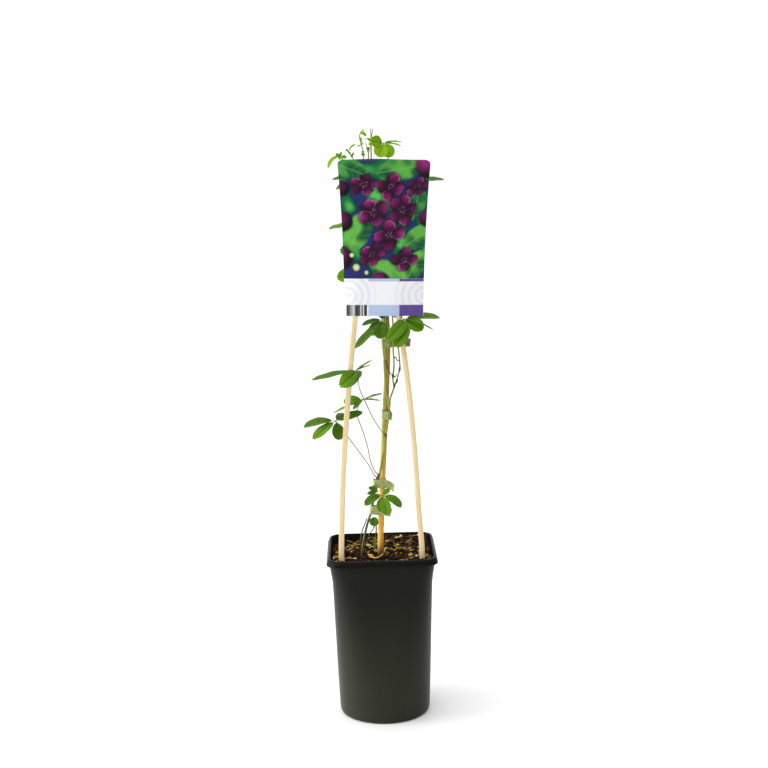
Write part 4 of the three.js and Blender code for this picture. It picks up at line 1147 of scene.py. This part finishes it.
def film_panel(name, sign):
    """One film panel, stretched over the sticks and pinched to the seams at its sides and top."""
    bpy.ops.mesh.primitive_grid_add(x_subdivisions=48, y_subdivisions=80, size=1, calc_uvs=True)
    panel = new_piece(name)
    reach = {}
    for vertex in panel.data.vertices:
        z = (vertex.co.y + 0.5) ** UNEVEN * HOOD_HEIGHT
        from_top = HOOD_HEIGHT - z
        into_corner = max(0.0, HOOD_CORNER - from_top)
        rounding = HOOD_CORNER - math.sqrt(max(0.0, HOOD_CORNER**2 - into_corner**2))
        half = (HOOD_WIDTH + HOOD_FLARE * (z / HOOD_HEIGHT) ** 2) / 2 - rounding
        x = vertex.co.x * 2 * half
        key = round(z, 6)
        if key not in reach:
            reach[key] = stick_reach(z)
        left, right = reach[key][0] - SUPPORT, reach[key][1] + SUPPORT
        outside = max(0.0, left - x, x - right)
        room = half + left if x < reach[key][0] else half - right
        lens = (1 - min(1.0, outside / max(room, LEAST_ROOM))) ** 0.8
        rise = math.sqrt(1 - (1 - min(1.0, from_top / TOP_SEAM_WIDTH)) ** 2)
        seam = smooth_step(0, SEAM_WIDTH, half - abs(x)) * rise
        ripple = HOOD_RIPPLE * math.sin(x * 130 + z * 60) * math.sin(z * 47 + 1.3)
        depth = SEAM_GAP + (HOOD_DEPTH - SEAM_GAP + ripple) * seam * lens
        crown = math.exp(-(((x + HOOD_FOOT[0]) / CROWN_WIDTH) ** 2))
        vertex.co = (x, -sign * depth, z - CROWN * (1 - crown) * (z / HOOD_HEIGHT) ** 4)
    return panel


def make_hood():
    front = film_panel("hood_front", 1)
    back = film_panel("hood_back", -1)
    start_edit(back)
    bpy.ops.mesh.flip_normals()
    end_edit()
    for panel, skin in ((front, "print"), (back, "back_print")):
        panel.data.materials.append(SKINS[skin])
        panel.data.materials.append(SKINS["film"])
        finish_with(panel, "SOLIDIFY", thickness=FILM, offset=-1, material_offset=1, material_offset_rim=1)
    hood = join("film_hood", [front, back])
    turn = Matrix.Rotation(HOOD_TURN, 4, "Y")
    hood.data.transform(front_plane() @ Matrix.Translation((HOOD_FOOT[0], 0, HOOD_FOOT[1])) @ turn)
    shade(hood, 40)
    install(hood, "printed_film", "label_hood")


# Tape ties

BAND_STEPS = 56
BAND_ROWS = 8
TAPE_CREASE = 0.24 * MM
TAPE_WAVE = 0.5 * MM
TAPE_CURL = 0.5 * MM
TAPE_SKEW = 1.4 * MM
TAPE_ROUGHNESS = 0.3 * MM
END_SHARE = 0.96

# Height and tilt, the circles that the band runs round, and its loose end's points with their drop.
TIES = {
    "tape_tie_1": (256.5, 0.15, [(0.9, -21.4, 4.2), (-10.9, -24.8, 2.3)],
                   [(2, -25.6, 0), (8, -26.6, 0.2), (13, -26, 0.6)]),
    "tape_tie_2": (290, 0.02, [(3, -20.9, 4), (-6.4, -27.1, 2.4)],
                   [(4, -25.2, 0), (9, -25.9, 0.8), (14, -27, 3), (16.6, -28.4, 6)]),
    "tape_tie_3": (372.5, 0.06, [(8.2, -19.7, 4), (12, -24, 2.6)],
                   [(14.1, -24, 0), (15.2, -26.5, 1.2), (15.8, -29, 2.4)]),
    "tape_tie_4": (457, -0.04, [(12.55, -18.6, 4), (7.7, -21.6, 1.9)],
                   [(15, -14.7, 0), (26, -15.4, 0), (40, -17.4, 0.6)]),
}


def belt_point(circles, share):
    """Point of a band round two circles, seen from above, at a share of the way round."""
    (x1, y1, r1), (x2, y2, r2) = circles
    heading = math.atan2(y2 - y1, x2 - x1)
    spread = math.acos((r1 - r2) / math.hypot(x2 - x1, y2 - y1))
    turn = share * 2 * math.pi
    over_first = 2 * (math.pi - spread)
    if turn < over_first:
        x, y, reach, angle = x1, y1, r1 + TAPE_GAP / MM, heading + spread + turn
    else:
        x, y, reach, angle = x2, y2, r2 + TAPE_GAP / MM, heading - spread + (turn - over_first)
    return x + reach * math.cos(angle), y + reach * math.sin(angle)


def tape_band(name, z, circles):
    """The closed loop: a ring shaped to its belt and drawn up in creased steps."""
    bpy.ops.mesh.primitive_circle_add(vertices=BAND_STEPS, radius=1, fill_type="NOTHING")
    band = new_piece(name)
    for index, vertex in enumerate(band.data.vertices):
        vertex.co = Vector((*belt_point(circles, index / BAND_STEPS), z)) * MM - UP * TAPE_WIDTH / 2
    start_edit(band)
    for _ in range(BAND_ROWS):
        bpy.ops.mesh.extrude_edges_move(TRANSFORM_OT_translate={"value": (0, 0, TAPE_WIDTH / BAND_ROWS)})
    end_edit()
    (x1, y1, _), (x2, y2, _) = circles
    centre = Vector(((x1 + x2) / 2, (y1 + y2) / 2, z)) * MM
    for vertex in band.data.vertices:
        away = (vertex.co - centre) * Vector((1, 1, 0))
        crease = smooth_noise(vertex.co * Vector((300, 300, 520))) * TAPE_CREASE
        vertex.co += away.normalized() * crease
        vertex.co.z += smooth_noise(vertex.co * 190) * TAPE_WAVE
    return band


def tape_end(name, z, points):
    """The loose end: a strip through its points, wider than deep, lightly curled."""
    line = mm(*((x, y, z - drop) for x, y, drop in points))
    bpy.ops.mesh.primitive_grid_add(x_subdivisions=14, y_subdivisions=6, size=1)
    end = new_piece(name)
    for vertex in end.data.vertices:
        share = (vertex.co.x + 0.5) * (len(line) - 1)
        index = min(int(share), len(line) - 2)
        place = line[index].lerp(line[index + 1], share - index)
        curl = TAPE_CURL * math.sin(share * 2.1) * vertex.co.y
        skew = TAPE_SKEW * (vertex.co.x + 0.5) * vertex.co.y
        vertex.co = place + Vector((skew, curl - 0.0001, vertex.co.y * TAPE_WIDTH * END_SHARE))
        vertex.co.y += smooth_noise(vertex.co * 240) * TAPE_ROUGHNESS
    return end


def make_ties():
    for name, (z, tilt, circles, points) in TIES.items():
        parts = [tape_band(f"{name}_band", z, circles), tape_end(f"{name}_end", z, points)]
        piece = join(f"{name}_film", parts)
        finish_with(piece, "SOLIDIFY", thickness=TAPE_SHEET, offset=0)
        finish_with(piece, "SUBSURF", levels=1, render_levels=1)
        pivot = Vector((*circles[0][:2], z)) * MM
        piece.data.transform(Matrix.Translation(pivot) @ Matrix.Rotation(tilt, 4, "Y")
                             @ Matrix.Translation(-pivot))
        dress(piece, "tape")
        install(piece, "tie_tape", name)


# Leaves


def outline(share):
    """Half width of a leaflet's blade, from 0 at its base to 1 at its widest, notched tip excluded."""
    body = 1 - abs(2 * share**1.1 - 1) ** 2.1
    return max(0.0, body) ** 0.62


def leaflet_master():
    """One leaflet on the table: length 1 along X from its stalk, half width 1 across Y."""
    rows = LEAFLET_ROWS
    bpy.ops.mesh.primitive_grid_add(x_subdivisions=rows, y_subdivisions=LEAFLET_COLUMNS, size=2)
    master = new_piece("leaflet_master")
    start_edit(master)
    for step in range(rows + 1):
        station = 0.5 - 0.5 * math.cos(math.pi * step / rows)
        place = -1 + 2 * step / rows
        pick(master, lambda co, place=place: abs(co.x - place) < 0.5 / rows and abs(co.z) < 0.5)
        resize((1, max(outline(station), 0.3 if station > 0.9 else 0.02), 1), (place, 0, 0))
        bpy.ops.transform.translate(value=(station * 0.9 + 0.1 - place, 0, 2))
    take_all()
    bpy.ops.transform.translate(value=(0, 0, -2))
    end_edit()
    for vertex in master.data.vertices:
        x, y, _ = vertex.co
        tip = smooth_step(0.86, 1.0, x)
        vertex.co.x -= NOTCH * tip * math.exp(-((y / NOTCH_WIDTH) ** 2))
        vertex.co.x -= TIP_ROUNDING * tip * min(1.0, abs(y) / 0.3) ** 2
        vertex.co.z = -CHANNEL * math.exp(-((y / CHANNEL_WIDTH) ** 2)) * smooth_step(1.0, 0.8, x)
    return master


def leaflet_rib(hub, reach, turn, swing):
    """Arched line of a leaflet's rib, and the direction that its upper face looks in."""
    along = Vector(reach) * MM
    level = along.cross(LOOK).normalized()
    if level.z < 0:
        level.negate()
    facing = along.cross(level).normalized()
    if facing.dot(LOOK) > 0:
        facing.negate()
    angle = math.radians(turn)
    up = level * math.cos(angle) + facing * math.sin(angle)
    middle = hub + along * 0.5 + Vector(swing) * MM + up * ARCH * along.length
    return hub, middle, hub + along, up


def rib_point(rib, share):
    start, middle, end, _ = rib
    return start * (1 - share) ** 2 + middle * 2 * share * (1 - share) + end * share**2


def rib_tangent(rib, share):
    start, middle, end, _ = rib
    return ((middle - start) * (1 - share) + (end - middle) * share).normalized()


def leaflet(master, hub, spec, draw):
    """Copy of the master laid along its own rib, with its own wave, curl and tone."""
    reach, width, turn, *more = spec
    rib = leaflet_rib(hub, reach, turn, more[0] if more else (0, 0, 0))
    half = width * MM / 2
    phase, wave, curl = draw.uniform(0, 6.3), draw.uniform(0.02, 0.07), draw.uniform(-0.05, 0.1)
    mesh = master.data.copy()
    for vertex in mesh.vertices:
        x, y, z = vertex.co
        tangent = rib_tangent(rib, x)
        side = rib[3].cross(tangent).normalized()
        normal = tangent.cross(side)
        ripple = wave * math.sin(x * 15 + phase + (1.6 if y > 0 else 0)) * y * y
        lift = FOLD * abs(y) * (1 - 0.3 * abs(y)) - curl * y * y * x + ripple + z
        vertex.co = rib_point(rib, x) + side * y * half + normal * lift * half
    stamp(mesh, "tone", [draw.uniform(0.0, 1.0)] * len(mesh.vertices))
    stalk_line = [rib_point(rib, STALK_SHARE * step / 5) for step in range(6)]
    blade = add_object("leaflet", mesh)
    return blade, rod("stalk", stalk_line, lambda share: (0.42 - 0.06 * share) * MM, 1)


def nodes_near(points, reach):
    """Closeness to the nearest of some points: 1 on it, 0 beyond the reach."""
    return lambda co: max([0.0, *(1 - (co - point).length / reach for point in points)])


def thicken(blades, skin):
    """Join blades and give them thickness, with the underside's own material."""
    blade = join("blades", blades)
    blade.data.materials.append(SKINS[skin])
    blade.data.materials.append(SKINS[f"{skin}_under"])
    finish_with(blade, "SOLIDIFY", thickness=BLADE, offset=0, material_offset=1, material_offset_rim=1)
    shade(blade)
    return blade


def knob(place, radius):
    """Small swelling where leaflets or a stalk meet: a ball drawn a little long."""
    bpy.ops.mesh.primitive_uv_sphere_add(segments=12, ring_count=8, radius=radius, location=place)
    ball = new_piece("knob")
    start_edit(ball)
    resize((1, 1, 1.15), place)
    end_edit()
    return ball


def round_cane(turns, gap):
    """Route round the cane, from heights and angles seen from above; the front is -90 degrees."""
    route = []
    for height, degrees in turns:
        x, y, _ = at_height(CANE_ROUTE, height) / MM
        angle = math.radians(degrees)
        route.append((x + gap * math.cos(angle), y + gap * math.sin(angle), height))
    return route


# The stems: route, radii at foot and tip, dry snags, green twigs, and small unopened leaflets.
STEMS = {
    "main_stem": {
        "route": [(-23.6, -18.6, 172), (-23.9, -19.4, 201), (-18, -20.5, 234), (-14.6, -23, 246),
                  (-11, -25, 257), (-8, -27, 277), (-6.2, -27.2, 291), (-1.8, -27.2, 299), (1.1, -27, 309),
                  *round_cane([(326, -100), (344, -80), (361, -60), (379, -45), (391, -75), (406, -100),
                               (421, -118), (437, -130), (452, -148), (470, -144), (486, -120), (520, -60),
                               (560, 20), (600, 100), (638, 176)], 5.75),
                  (0, -17.4, 661), (-1, -18, 673), (-1, -18, 687), (-0.6, -18, 697)],
        "radii": (1.55, 0.8),
        "twigs": [[(-0.7, -18, 695), (-1, -18, 702), (-1.2, -18, 707)],
                  [(-0.7, -18, 695), (0.6, -18, 702), (1.6, -18, 706.6)]],
        "buds": [((-0.7, -18, 694), [((-8.3, 2, -0.5), 2.6, 30, (0, 0, 2.5))]),
                 ((-0.8, -18, 691), [((-3, 4, 5), 4.5, 60), ((3, -3, 6), 5, 80), ((-1, -5, -4), 5, 85)])],
    },
    "side_stem_left": {
        "route": [(12.8, -23.6, 379.5), (14, -24.6, 386), (14, -25, 391), (17.2, -25, 400.2),
                  (19.5, -25, 407.3), (18.1, -24.6, 413.2), (18.3, -24, 420.3), (19.5, -23.6, 428.5),
                  (19.7, -23.4, 438.7), (19, -23.4, 451.7), (19.4, -24.6, 484), (15.5, -27.2, 525),
                  (4.5, -26.6, 568), (-4, -24.6, 608), (-6, -22.6, 645), (-4.3, -20.8, 664),
                  (-4.2, -20.8, 674), (-4.4, -20.8, 684)],
        "radii": (1.1, 0.75),
        "snags": [[(10.2, -26.2, 438), (12.6, -26.6, 429), (15.3, -26.4, 422.2), (18, -25.4, 419.6)],
                  [(18.6, -24.6, 420), (20.6, -25.4, 418), (22.4, -25.6, 421)],
                  [(19.8, -24.4, 441.7), (22, -25.4, 441), (23.1, -25.6, 438.3), (25.8, -25.2, 437.2)]],
        "twigs": [[(-4.4, -20.8, 682), (-6, -21, 687), (-7, -21, 691)]],
        "buds": [((-4.4, -20.8, 683), [((-1.8, -2, 2.6), 3.2, 80), ((1.8, -2, 2.4), 3.2, 80),
                                       ((0, -3, -3), 3.4, 85)])],
    },
    "side_stem_right": {
        "route": [(19.4, -25, 407), (22.3, -25.2, 412.3), (24, -25, 419.1), (26.3, -24.6, 427.3),
                  (26.3, -24, 438.6), (25.4, -23.8, 451.6), (25.5, -24, 485), (27, -25, 520),
                  (25, -24, 560), (20, -21.5, 600), (17.5, -19.6, 640)],
        "radii": (1, 0.8),
        "buds": [((17.5, -19.6, 639.4), [((-3, 2, 7), 4, 60)])],
    },
    "basal_shoot_left": {
        "route": [(-25.5, 2, 176), (-25.5, 2, 201), (-25, -5, 215), (-22.6, -13, 230), (-19, -19, 240.5),
                  (-17.2, -21.4, 246.5)],
        "radii": (0.9, 0.7),
    },
    "basal_shoot_right": {
        "route": [(-8, 1, 176), (-8, 2, 201), (-7, -6, 215), (-6, -14, 230), (-6, -20, 241),
                  (-5.8, -23, 247.6)],
        "radii": (1, 0.75),
        "buds": [((-6.4, -10, 223.4), [((-1.6, -4, -17.4), 4.6, 60)])],
    },
}

# The leaves and shoots: stem, height on it, skin, leaves of petiole route, hub and leaflets, and sprigs.
SPRAYS = {
    "leaf_low_front": ("main_stem", 277, "leaf", [
        ([(-4.5, -35, 280)], (2, -46, 280), [
            ((-21, -2, -11), 10.5, 62, (-2, 0, 4)), ((22, -4, -14), 10.5, 62, (3, 0, 4)),
            ((-3, -12, -17), 11, 88), ((5.5, -14, -20), 13.5, 88), ((9, 4, 7), 7, 60)]),
        ([(-6.5, -33, 281)], (-3.4, -39, 283.5), [
            ((-11, -4, 6), 6.5, 45), ((-12.5, -3, -2), 6, 45), ((-6, 1, 7), 5.5, 50)])]),
    "leaf_left_low": ("main_stem", 297, "leaf", [
        ([(-6.8, -31, 302), (-12.4, -31, 313), (-20.6, -29, 325), (-29, -28, 337), (-37, -29, 349),
          (-45, -30, 362)], (-51, -30, 368), [
            ((-38, -4, -6), 14, 36, (0, 0, 2)), ((-27, -18, -18), 14, 48, (1, 0, -1.5)),
            ((5, -3, -22.5), 15, 80), ((33, -1, 10), 11, 52, (0, 0, -1.5)), ((14, 26, 3), 13, 40)])]),
    "leaf_left_middle": ("main_stem", 300, "leaf", [
        ([(-6, -28, 306), (-10.6, -26.8, 317), (-14, -26, 336), (-19.4, -24, 355), (-25, -23, 372),
          (-25, -25, 381)], (-18, -30, 393), [
            ((23, -8, 7.5), 10, 10, (0, 0, -2.5)), ((21, 12, -4), 10, 8, (0, 0, -2.5)),
            ((-23, 8, -3.6), 12, 74), ((-36, 0.5, -16.2), 12, 8, (0, 0.4, -5)),
            ((-12, -4, -11), 5, 60)])]),
    "leaf_left_high": ("main_stem", 348, "leaf", [
        ([(2, -28.6, 356), (-7, -28, 371), (-15, -26.5, 389), (-21, -27.6, 404)], (-25, -33, 428), [
            ((-53, 6, -11), 12, 30, (0, 0, -4)), ((-20, -29, -14), 19, 80, (6.5, -15, 3)),
            ((-1, -26, -8), 12, 70, (5, -3, 0)), ((20, 20, 9.5), 11, 8, (0, 0, -3)),
            ((16, 21, 2.5), 11, 8, (0, 0, -2))])]),
    "leaf_centre_left": ("main_stem", 474, "leaf", [
        ([(7.4, -28, 480)], (7, -34, 487), [
            ((-24, 0, -6), 11, 32), ((-33, -16, -31), 13, 42, (3, 0, -3)), ((-15, 2, -18), 13, 70),
            ((-4, -14, -21), 17, 86), ((-5, 15, 7), 12, 40)])]),
    "leaf_centre_right": ("side_stem_right", 462, "leaf", [
        ([(28.4, -28, 473)], (31.4, -34.6, 487), [
            ((-9.8, -21, -31), 19, 84, (6, -10, 6)), ((-21.8, -21, -23), 16, 82, (12, -11, 7)),
            ((23.2, -6, -12), 18, 66), ((34.2, -13, -12), 11, 8), ((44.2, 15, -1), 14, 36),
            ((-12.4, 3.6, 9.5), 9, 86)])]),
    "leaf_hood_left_1": ("side_stem_left", 533, "leaf", [
        ([(6, -26, 538), (-4, -20, 541)], (-15, -13, 542), [
            ((-30, -2, -7), 17, 75), ((-12, 14, 15), 13, 60), ((4, 4, -25), 14, 80), ((16, 16, 3), 13, 60),
            ((4, 18, 15), 12, 50)])]),
    "leaf_hood_left_2": ("side_stem_left", 556, "leaf", [
        ([(-2, -24, 562)], (-12, -20, 568), [
            ((-28.5, 0, -1), 16, 75), ((-10, 6, 17), 12, 60), ((-2, -4, -18), 12, 80),
            ((-20, 12, 9), 12, 60)])]),
    "leaf_hood_left_3": ("main_stem", 584, "leaf", [
        ([(0, -8, 590), (-14, -10, 595)], (-25, -13, 597), [
            ((-28, 2, -4.5), 12, 28, (0, 0, -2)), ((-7, 8, 16), 12, 60), ((-4, 12, -16), 12, 60),
            ((10, 16, 12), 12, 60)])]),
    "leaf_hood_left_4": ("main_stem", 630, "leaf", [
        ([(-2, -14, 636), (-14, -13, 645)], (-24, -13, 649), [
            ((-23.2, 2, 0.4), 8, 36, (1, 0, 1.5)), ((-18.8, -4, -11.1), 6, 60), ((2, 6, -24), 12, 80),
            ((-3, 12, 13), 11, 55), ((14, 18, 4), 12, 50)])]),
    "leaf_hood_right": ("side_stem_right", 618, "leaf", [
        ([(24, -18, 628), (35, -15, 640)], (45, -14, 647), [
            ((38.5, 0, -0.5), 12, 30, (0, 0, -3.5)), ((8, 8, -23), 12, 70), ((-13, 12, -16), 12, 60),
            ((-12, 14, 8), 12, 60)])]),
    "leaf_back_1": ("main_stem", 506, "leaf", [
        ([(20, -17, 512), (26, -8, 517)], (30, 1, 520), [
            ((20, 10, 3), 13, 50), ((9, 16, -18), 14, 60), ((-13, 20, -9), 14, 60), ((-8, 17, 14), 13, 60),
            ((13, 12, 17), 12, 60)])]),
    "leaf_back_2": ("main_stem", 603, "leaf", [
        ([(8, -4, 606)], (7, 5, 609), [
            ((19, 14, 2), 13, 50), ((9, 12, -20), 13, 60), ((-12, 18, -13), 13, 60), ((-5, 14, 19), 13, 60),
            ((14, 10, 17), 12, 60)])]),
    "leaf_back_3": ("side_stem_right", 548, "leaf", [
        ([(30, -15, 558), (32, -5, 566)], (31, 3, 571), [
            ((18, 10, -6), 13, 50), ((4, 16, -18), 13, 60), ((-14, 18, -2), 13, 60), ((0, 14, 19), 13, 60),
            ((16, 8, 15), 12, 60)])]),
    "leaf_top_left": ("side_stem_left", 612, "lime", [
        ([(-14, -26, 630), (-24, -25, 650), (-31, -23, 666)], (-36, -20, 676), [
            ((-15, -6, -13.6), 5.5, 50, (-3.5, 0, 5)), ((-6.3, -3, 2), 4.5, 55), ((6.5, -3, -2), 5, 60),
            ((0.3, 2, 5), 3.5, 60), ((-1.5, -5, -4), 4.5, 75)])]),
    "leaf_top_right": ("side_stem_right", 630, "lime", [
        ([(20.5, -17, 638), (19, -18, 660), (18, -19, 674)], (13, -20, 689.5), [
            ((-14.5, -4, 3), 14.5, 80), ((-5, -9, -16), 17, 88), ((9.5, -9, -16), 15, 88),
            ((22, 10, 1), 10, 18), ((21, 3, -3.5), 9, 14)])]),
    "curled_shoot": ("side_stem_left", 630, "lime", [
        ([(-9, -17, 645), (-10.5, -14, 662), (-10, -14, 673), (-10.4, -14, 682), (-12.6, -14, 690),
          (-14, -14, 699)], (-11, -14, 703.6), [
            ((2.4, -2, 1.2), 4.5, 75), ((1.6, -2, -3.4), 4.5, 80), ((-1.2, -1, -2.5), 3, 70),
            ((4.4, -1, -5.6), 3.5, 60)])],
        ((-12.2, -14, 689), [
            ((-5, -1, -2.2), 2.2, 40, (0, 0, -1)), ((2.6, -1, 1), 2.2, 60), ((-0.6, 0, 8.5), 2.4, 70)]),
        ((-10.3, -14, 679), [
            ((-0.8, -2, 3), 3, 80), ((1.2, -2, -3.2), 3.4, 85), ((-1.4, -2, -2.8), 3, 80)])),
    "forked_shoot": ("side_stem_left", 642, "lime", [
        ([(-12, -19, 652), (-19, -17, 665), (-23.6, -16, 676)], (-27, -16, 681), [
            ((-3.5, -1, 2.6), 3, 50), ((8.2, -1, 8.6), 3, 40, (-0.8, 0, 1)), ((2, -2, -3), 2.5, 75)])],
        ((-23.2, -16.2, 674.6), [((2.2, -1, 5.5), 3, 50), ((-1.5, -3, 3), 2.5, 70)])),
}

ROUND_SHOOT = {
    "route": [(-20, 2, 176), (-20, 2, 201), (-18, -4, 213), (-14, -13, 225), (-9.6, -23, 234)],
    "hub": (-8.6, -26.5, 237),
    "leaflets": [((0.6, -2.5, 13.5), 11, 85)],
}


def leaflets_of(master, sprigs, draw):
    """Blades and stalks, from pairs of the point where leaflets meet and what each of them is like."""
    pairs = [leaflet(master, Vector(hub) * MM, spec, draw) for hub, specs in sprigs for spec in specs]
    return [blade for blade, _ in pairs], [stalk for _, stalk in pairs]


def leaf_parts(master, start, petiole, hub, leaflets, draw):
    """Petiole with a swollen foot, the hub, and its leaflets: blades and green rods apart."""
    line = route_line([tuple(start / MM), *petiole, hub], 9)
    length = sum((b - a).length for a, b in zip(line, line[1:]))
    stalk = rod("petiole", line, lambda share: PETIOLE * (1 + 0.7 * math.exp(-share * length / 0.0018)), 2)
    middle = knob(Vector(hub) * MM, HUB_KNOB)
    blades, stalks = leaflets_of(master, [(hub, leaflets)], draw)
    return blades, [stalk, middle, *stalks]


def thin_rods(spec, kind, radius):
    """A stem's twigs or snags, if it has any."""
    return [rod(kind, route_line(route, 5), lambda share: (radius - TAPER * share) * MM, 2)
            for route in spec.get(kind, ())]


# Heights of nodes that carry no leaf.
BARE_NODES = {"side_stem_left": (408, 419), "side_stem_right": (413, 427)}


def spray_points():
    """The nodes of each stem: where a leaf or shoot leaves it, and the bare ones."""
    leaving = {name: [at_height(STEMS[name]["route"], height) for height in BARE_NODES.get(name, ())]
               for name in STEMS}
    for stem, height, *_ in SPRAYS.values():
        leaving[stem].append(at_height(STEMS[stem]["route"], height))
    return leaving


def bark_of(name, rods, closeness, skin):
    """Rods joined in one piece of bark, browned by how close their nodes are."""
    wood = join(name, rods)
    stamp_places(wood, "node", closeness)
    dress(wood, skin)
    return wood


def make_stems(master):
    leaving = spray_points()
    for seed, (name, spec) in enumerate(STEMS.items()):
        draw = random.Random(STEM_SEED + seed)
        line = route_line(spec["route"], 10)
        near = nodes_near(leaving[name], SWELL_REACH)
        low, high = (radius * MM for radius in spec["radii"])
        shares = shares_along(line)
        swell = [1 + NODE_SWELL * near(place) for place in line]

        def radius_at(share):
            index = min(range(len(shares)), key=lambda i: abs(shares[i] - share))
            return (low + (high - low) * share) * swell[index]

        skin = "young_stem" if name.startswith("side") else "stem"
        rods = [rod(name, line, radius_at, 3), *thin_rods(spec, "twigs", TWIG)]
        snags = thin_rods(spec, "snags", SNAG)
        blades, stalks = leaflets_of(master, spec.get("buds", ()), draw)
        parts = [bark_of(f"{name}_bark", rods + stalks, nodes_near(leaving[name], BROWN_REACH), skin)]
        if snags:
            parts.append(bark_of("snags", snags, lambda place: 1.0, skin))
        if blades:
            parts.append(thicken(blades, "leaf" if name == "basal_shoot_right" else "lime"))
        install(join(f"{name}_bark", parts), "stem_bark", name)


def finish_spray(name, blades, rods, start, skin):
    """Stalks and blades joined in one piece."""
    bark, slot = ("petiole", "leaf_green") if skin == "leaf" else ("young_stem", "leaf_lime")
    wood = bark_of(f"{name}_stalks", rods, nodes_near([start], FOOT_REACH), bark)
    install(join(f"{name}_fine", [wood, thicken(blades, skin)]), slot, name)


def make_sprays(master):
    for seed, (name, (stem, height, skin, leaves, *sprigs)) in enumerate(SPRAYS.items()):
        draw = random.Random(SPRAY_SEED + seed)
        start = at_height(STEMS[stem]["route"], height)
        blades, rods = leaflets_of(master, sprigs, draw)
        for petiole, hub, leaflets in leaves:
            more_blades, more_rods = leaf_parts(master, start, petiole, hub, leaflets, draw)
            blades += more_blades
            rods += more_rods
        finish_spray(name, blades, rods, start, skin)


def make_round_shoot(master):
    first, *route = ROUND_SHOOT["route"]
    start = Vector(first) * MM
    draw = random.Random(SHOOT_SEED)
    blades, rods = leaf_parts(master, start, route, ROUND_SHOOT["hub"], ROUND_SHOOT["leaflets"], draw)
    finish_spray("round_leaf_shoot", blades, rods, start, "leaf")


# Stage


def make_stage():
    bpy.ops.mesh.primitive_plane_add(size=FLOOR_SIZE, location=(0, 0, -FLOOR_GAP))
    floor = new_piece("floor")
    floor.data.materials.append(material("floor_white", lambda s: {"Roughness": s.noise(s.place(), 3)},
                                         Base_Color=(FLOOR_TONE, FLOOR_TONE, FLOOR_TONE, 1)))


def make_lamp(name, kind, energy, **settings):
    """Lamp object of one kind, with these settings."""
    light = bpy.data.lights.new(name, kind)
    light.energy = energy
    for key, value in settings.items():
        setattr(light, key, value)
    return add_object(name, light)


def make_lights():
    """A white room, dimmer low in front and low on the right, an overhead panel and a softbox at the left."""
    world = bpy.data.worlds.new("white_room")
    bpy.context.scene.world = world
    world.use_nodes = True
    room = Shader(world.node_tree)
    background = world.node_tree.nodes["Background"]
    background.inputs["Color"].default_value = (1, 1, 1, 1)
    right, back, up = room.split(room.add("TexCoord", out=0))
    front_dim = room.step(back, -0.2, -0.85, 0, FRONT_DIM)
    right_dim = room.step(right, 0.22, 0.7, 0, RIGHT_DIM)
    low_share = room.step(up, 0.3, 0.75, 1, 0)
    dim = room.times(room.math("MAXIMUM", front_dim, right_dim), low_share)
    room.feed(background.inputs["Strength"], room.minus(ROOM_STRENGTH, dim))
    sky = make_lamp("sky_panel", "SUN", SKY_STRENGTH, angle=SKY_SPREAD)
    sky.rotation_euler = SKY_TURN
    softbox = make_lamp("softbox", "AREA", SOFTBOX_POWER, shape="DISK", size=SOFTBOX_SIZE)
    softbox.location = SOFTBOX_PLACE
    softbox.rotation_euler = (SOFTBOX_PLACE - SOFTBOX_TARGET).to_track_quat("Z", "Y").to_euler()


def make_camera():
    camera_data = bpy.data.cameras.new("camera")
    camera_data.lens = FOCAL
    camera_data.clip_start = 0.05
    camera = add_object("camera", camera_data)
    turn = (Matrix.Rotation(-HEADING, 4, "Z") @ Matrix.Rotation(math.pi / 2 - PITCH, 4, "X")
            @ Matrix.Rotation(-ROLL, 4, "Z"))
    camera.matrix_world = Matrix.Translation(EYE) @ turn
    bpy.context.scene.camera = camera


def main():
    make_camera()
    make_lights()
    make_stage()
    bpy.context.scene.view_settings.view_transform = "Standard"
    make_pot()
    make_soil()
    make_bark_curl()
    make_cane()
    make_stick("left")
    make_stick("right")
    make_hood()
    make_ties()
    master = leaflet_master()
    make_stems(master)
    make_sprays(master)
    make_round_shoot(master)
    bpy.data.objects.remove(master)
    bpy.context.view_layer.update()


main()
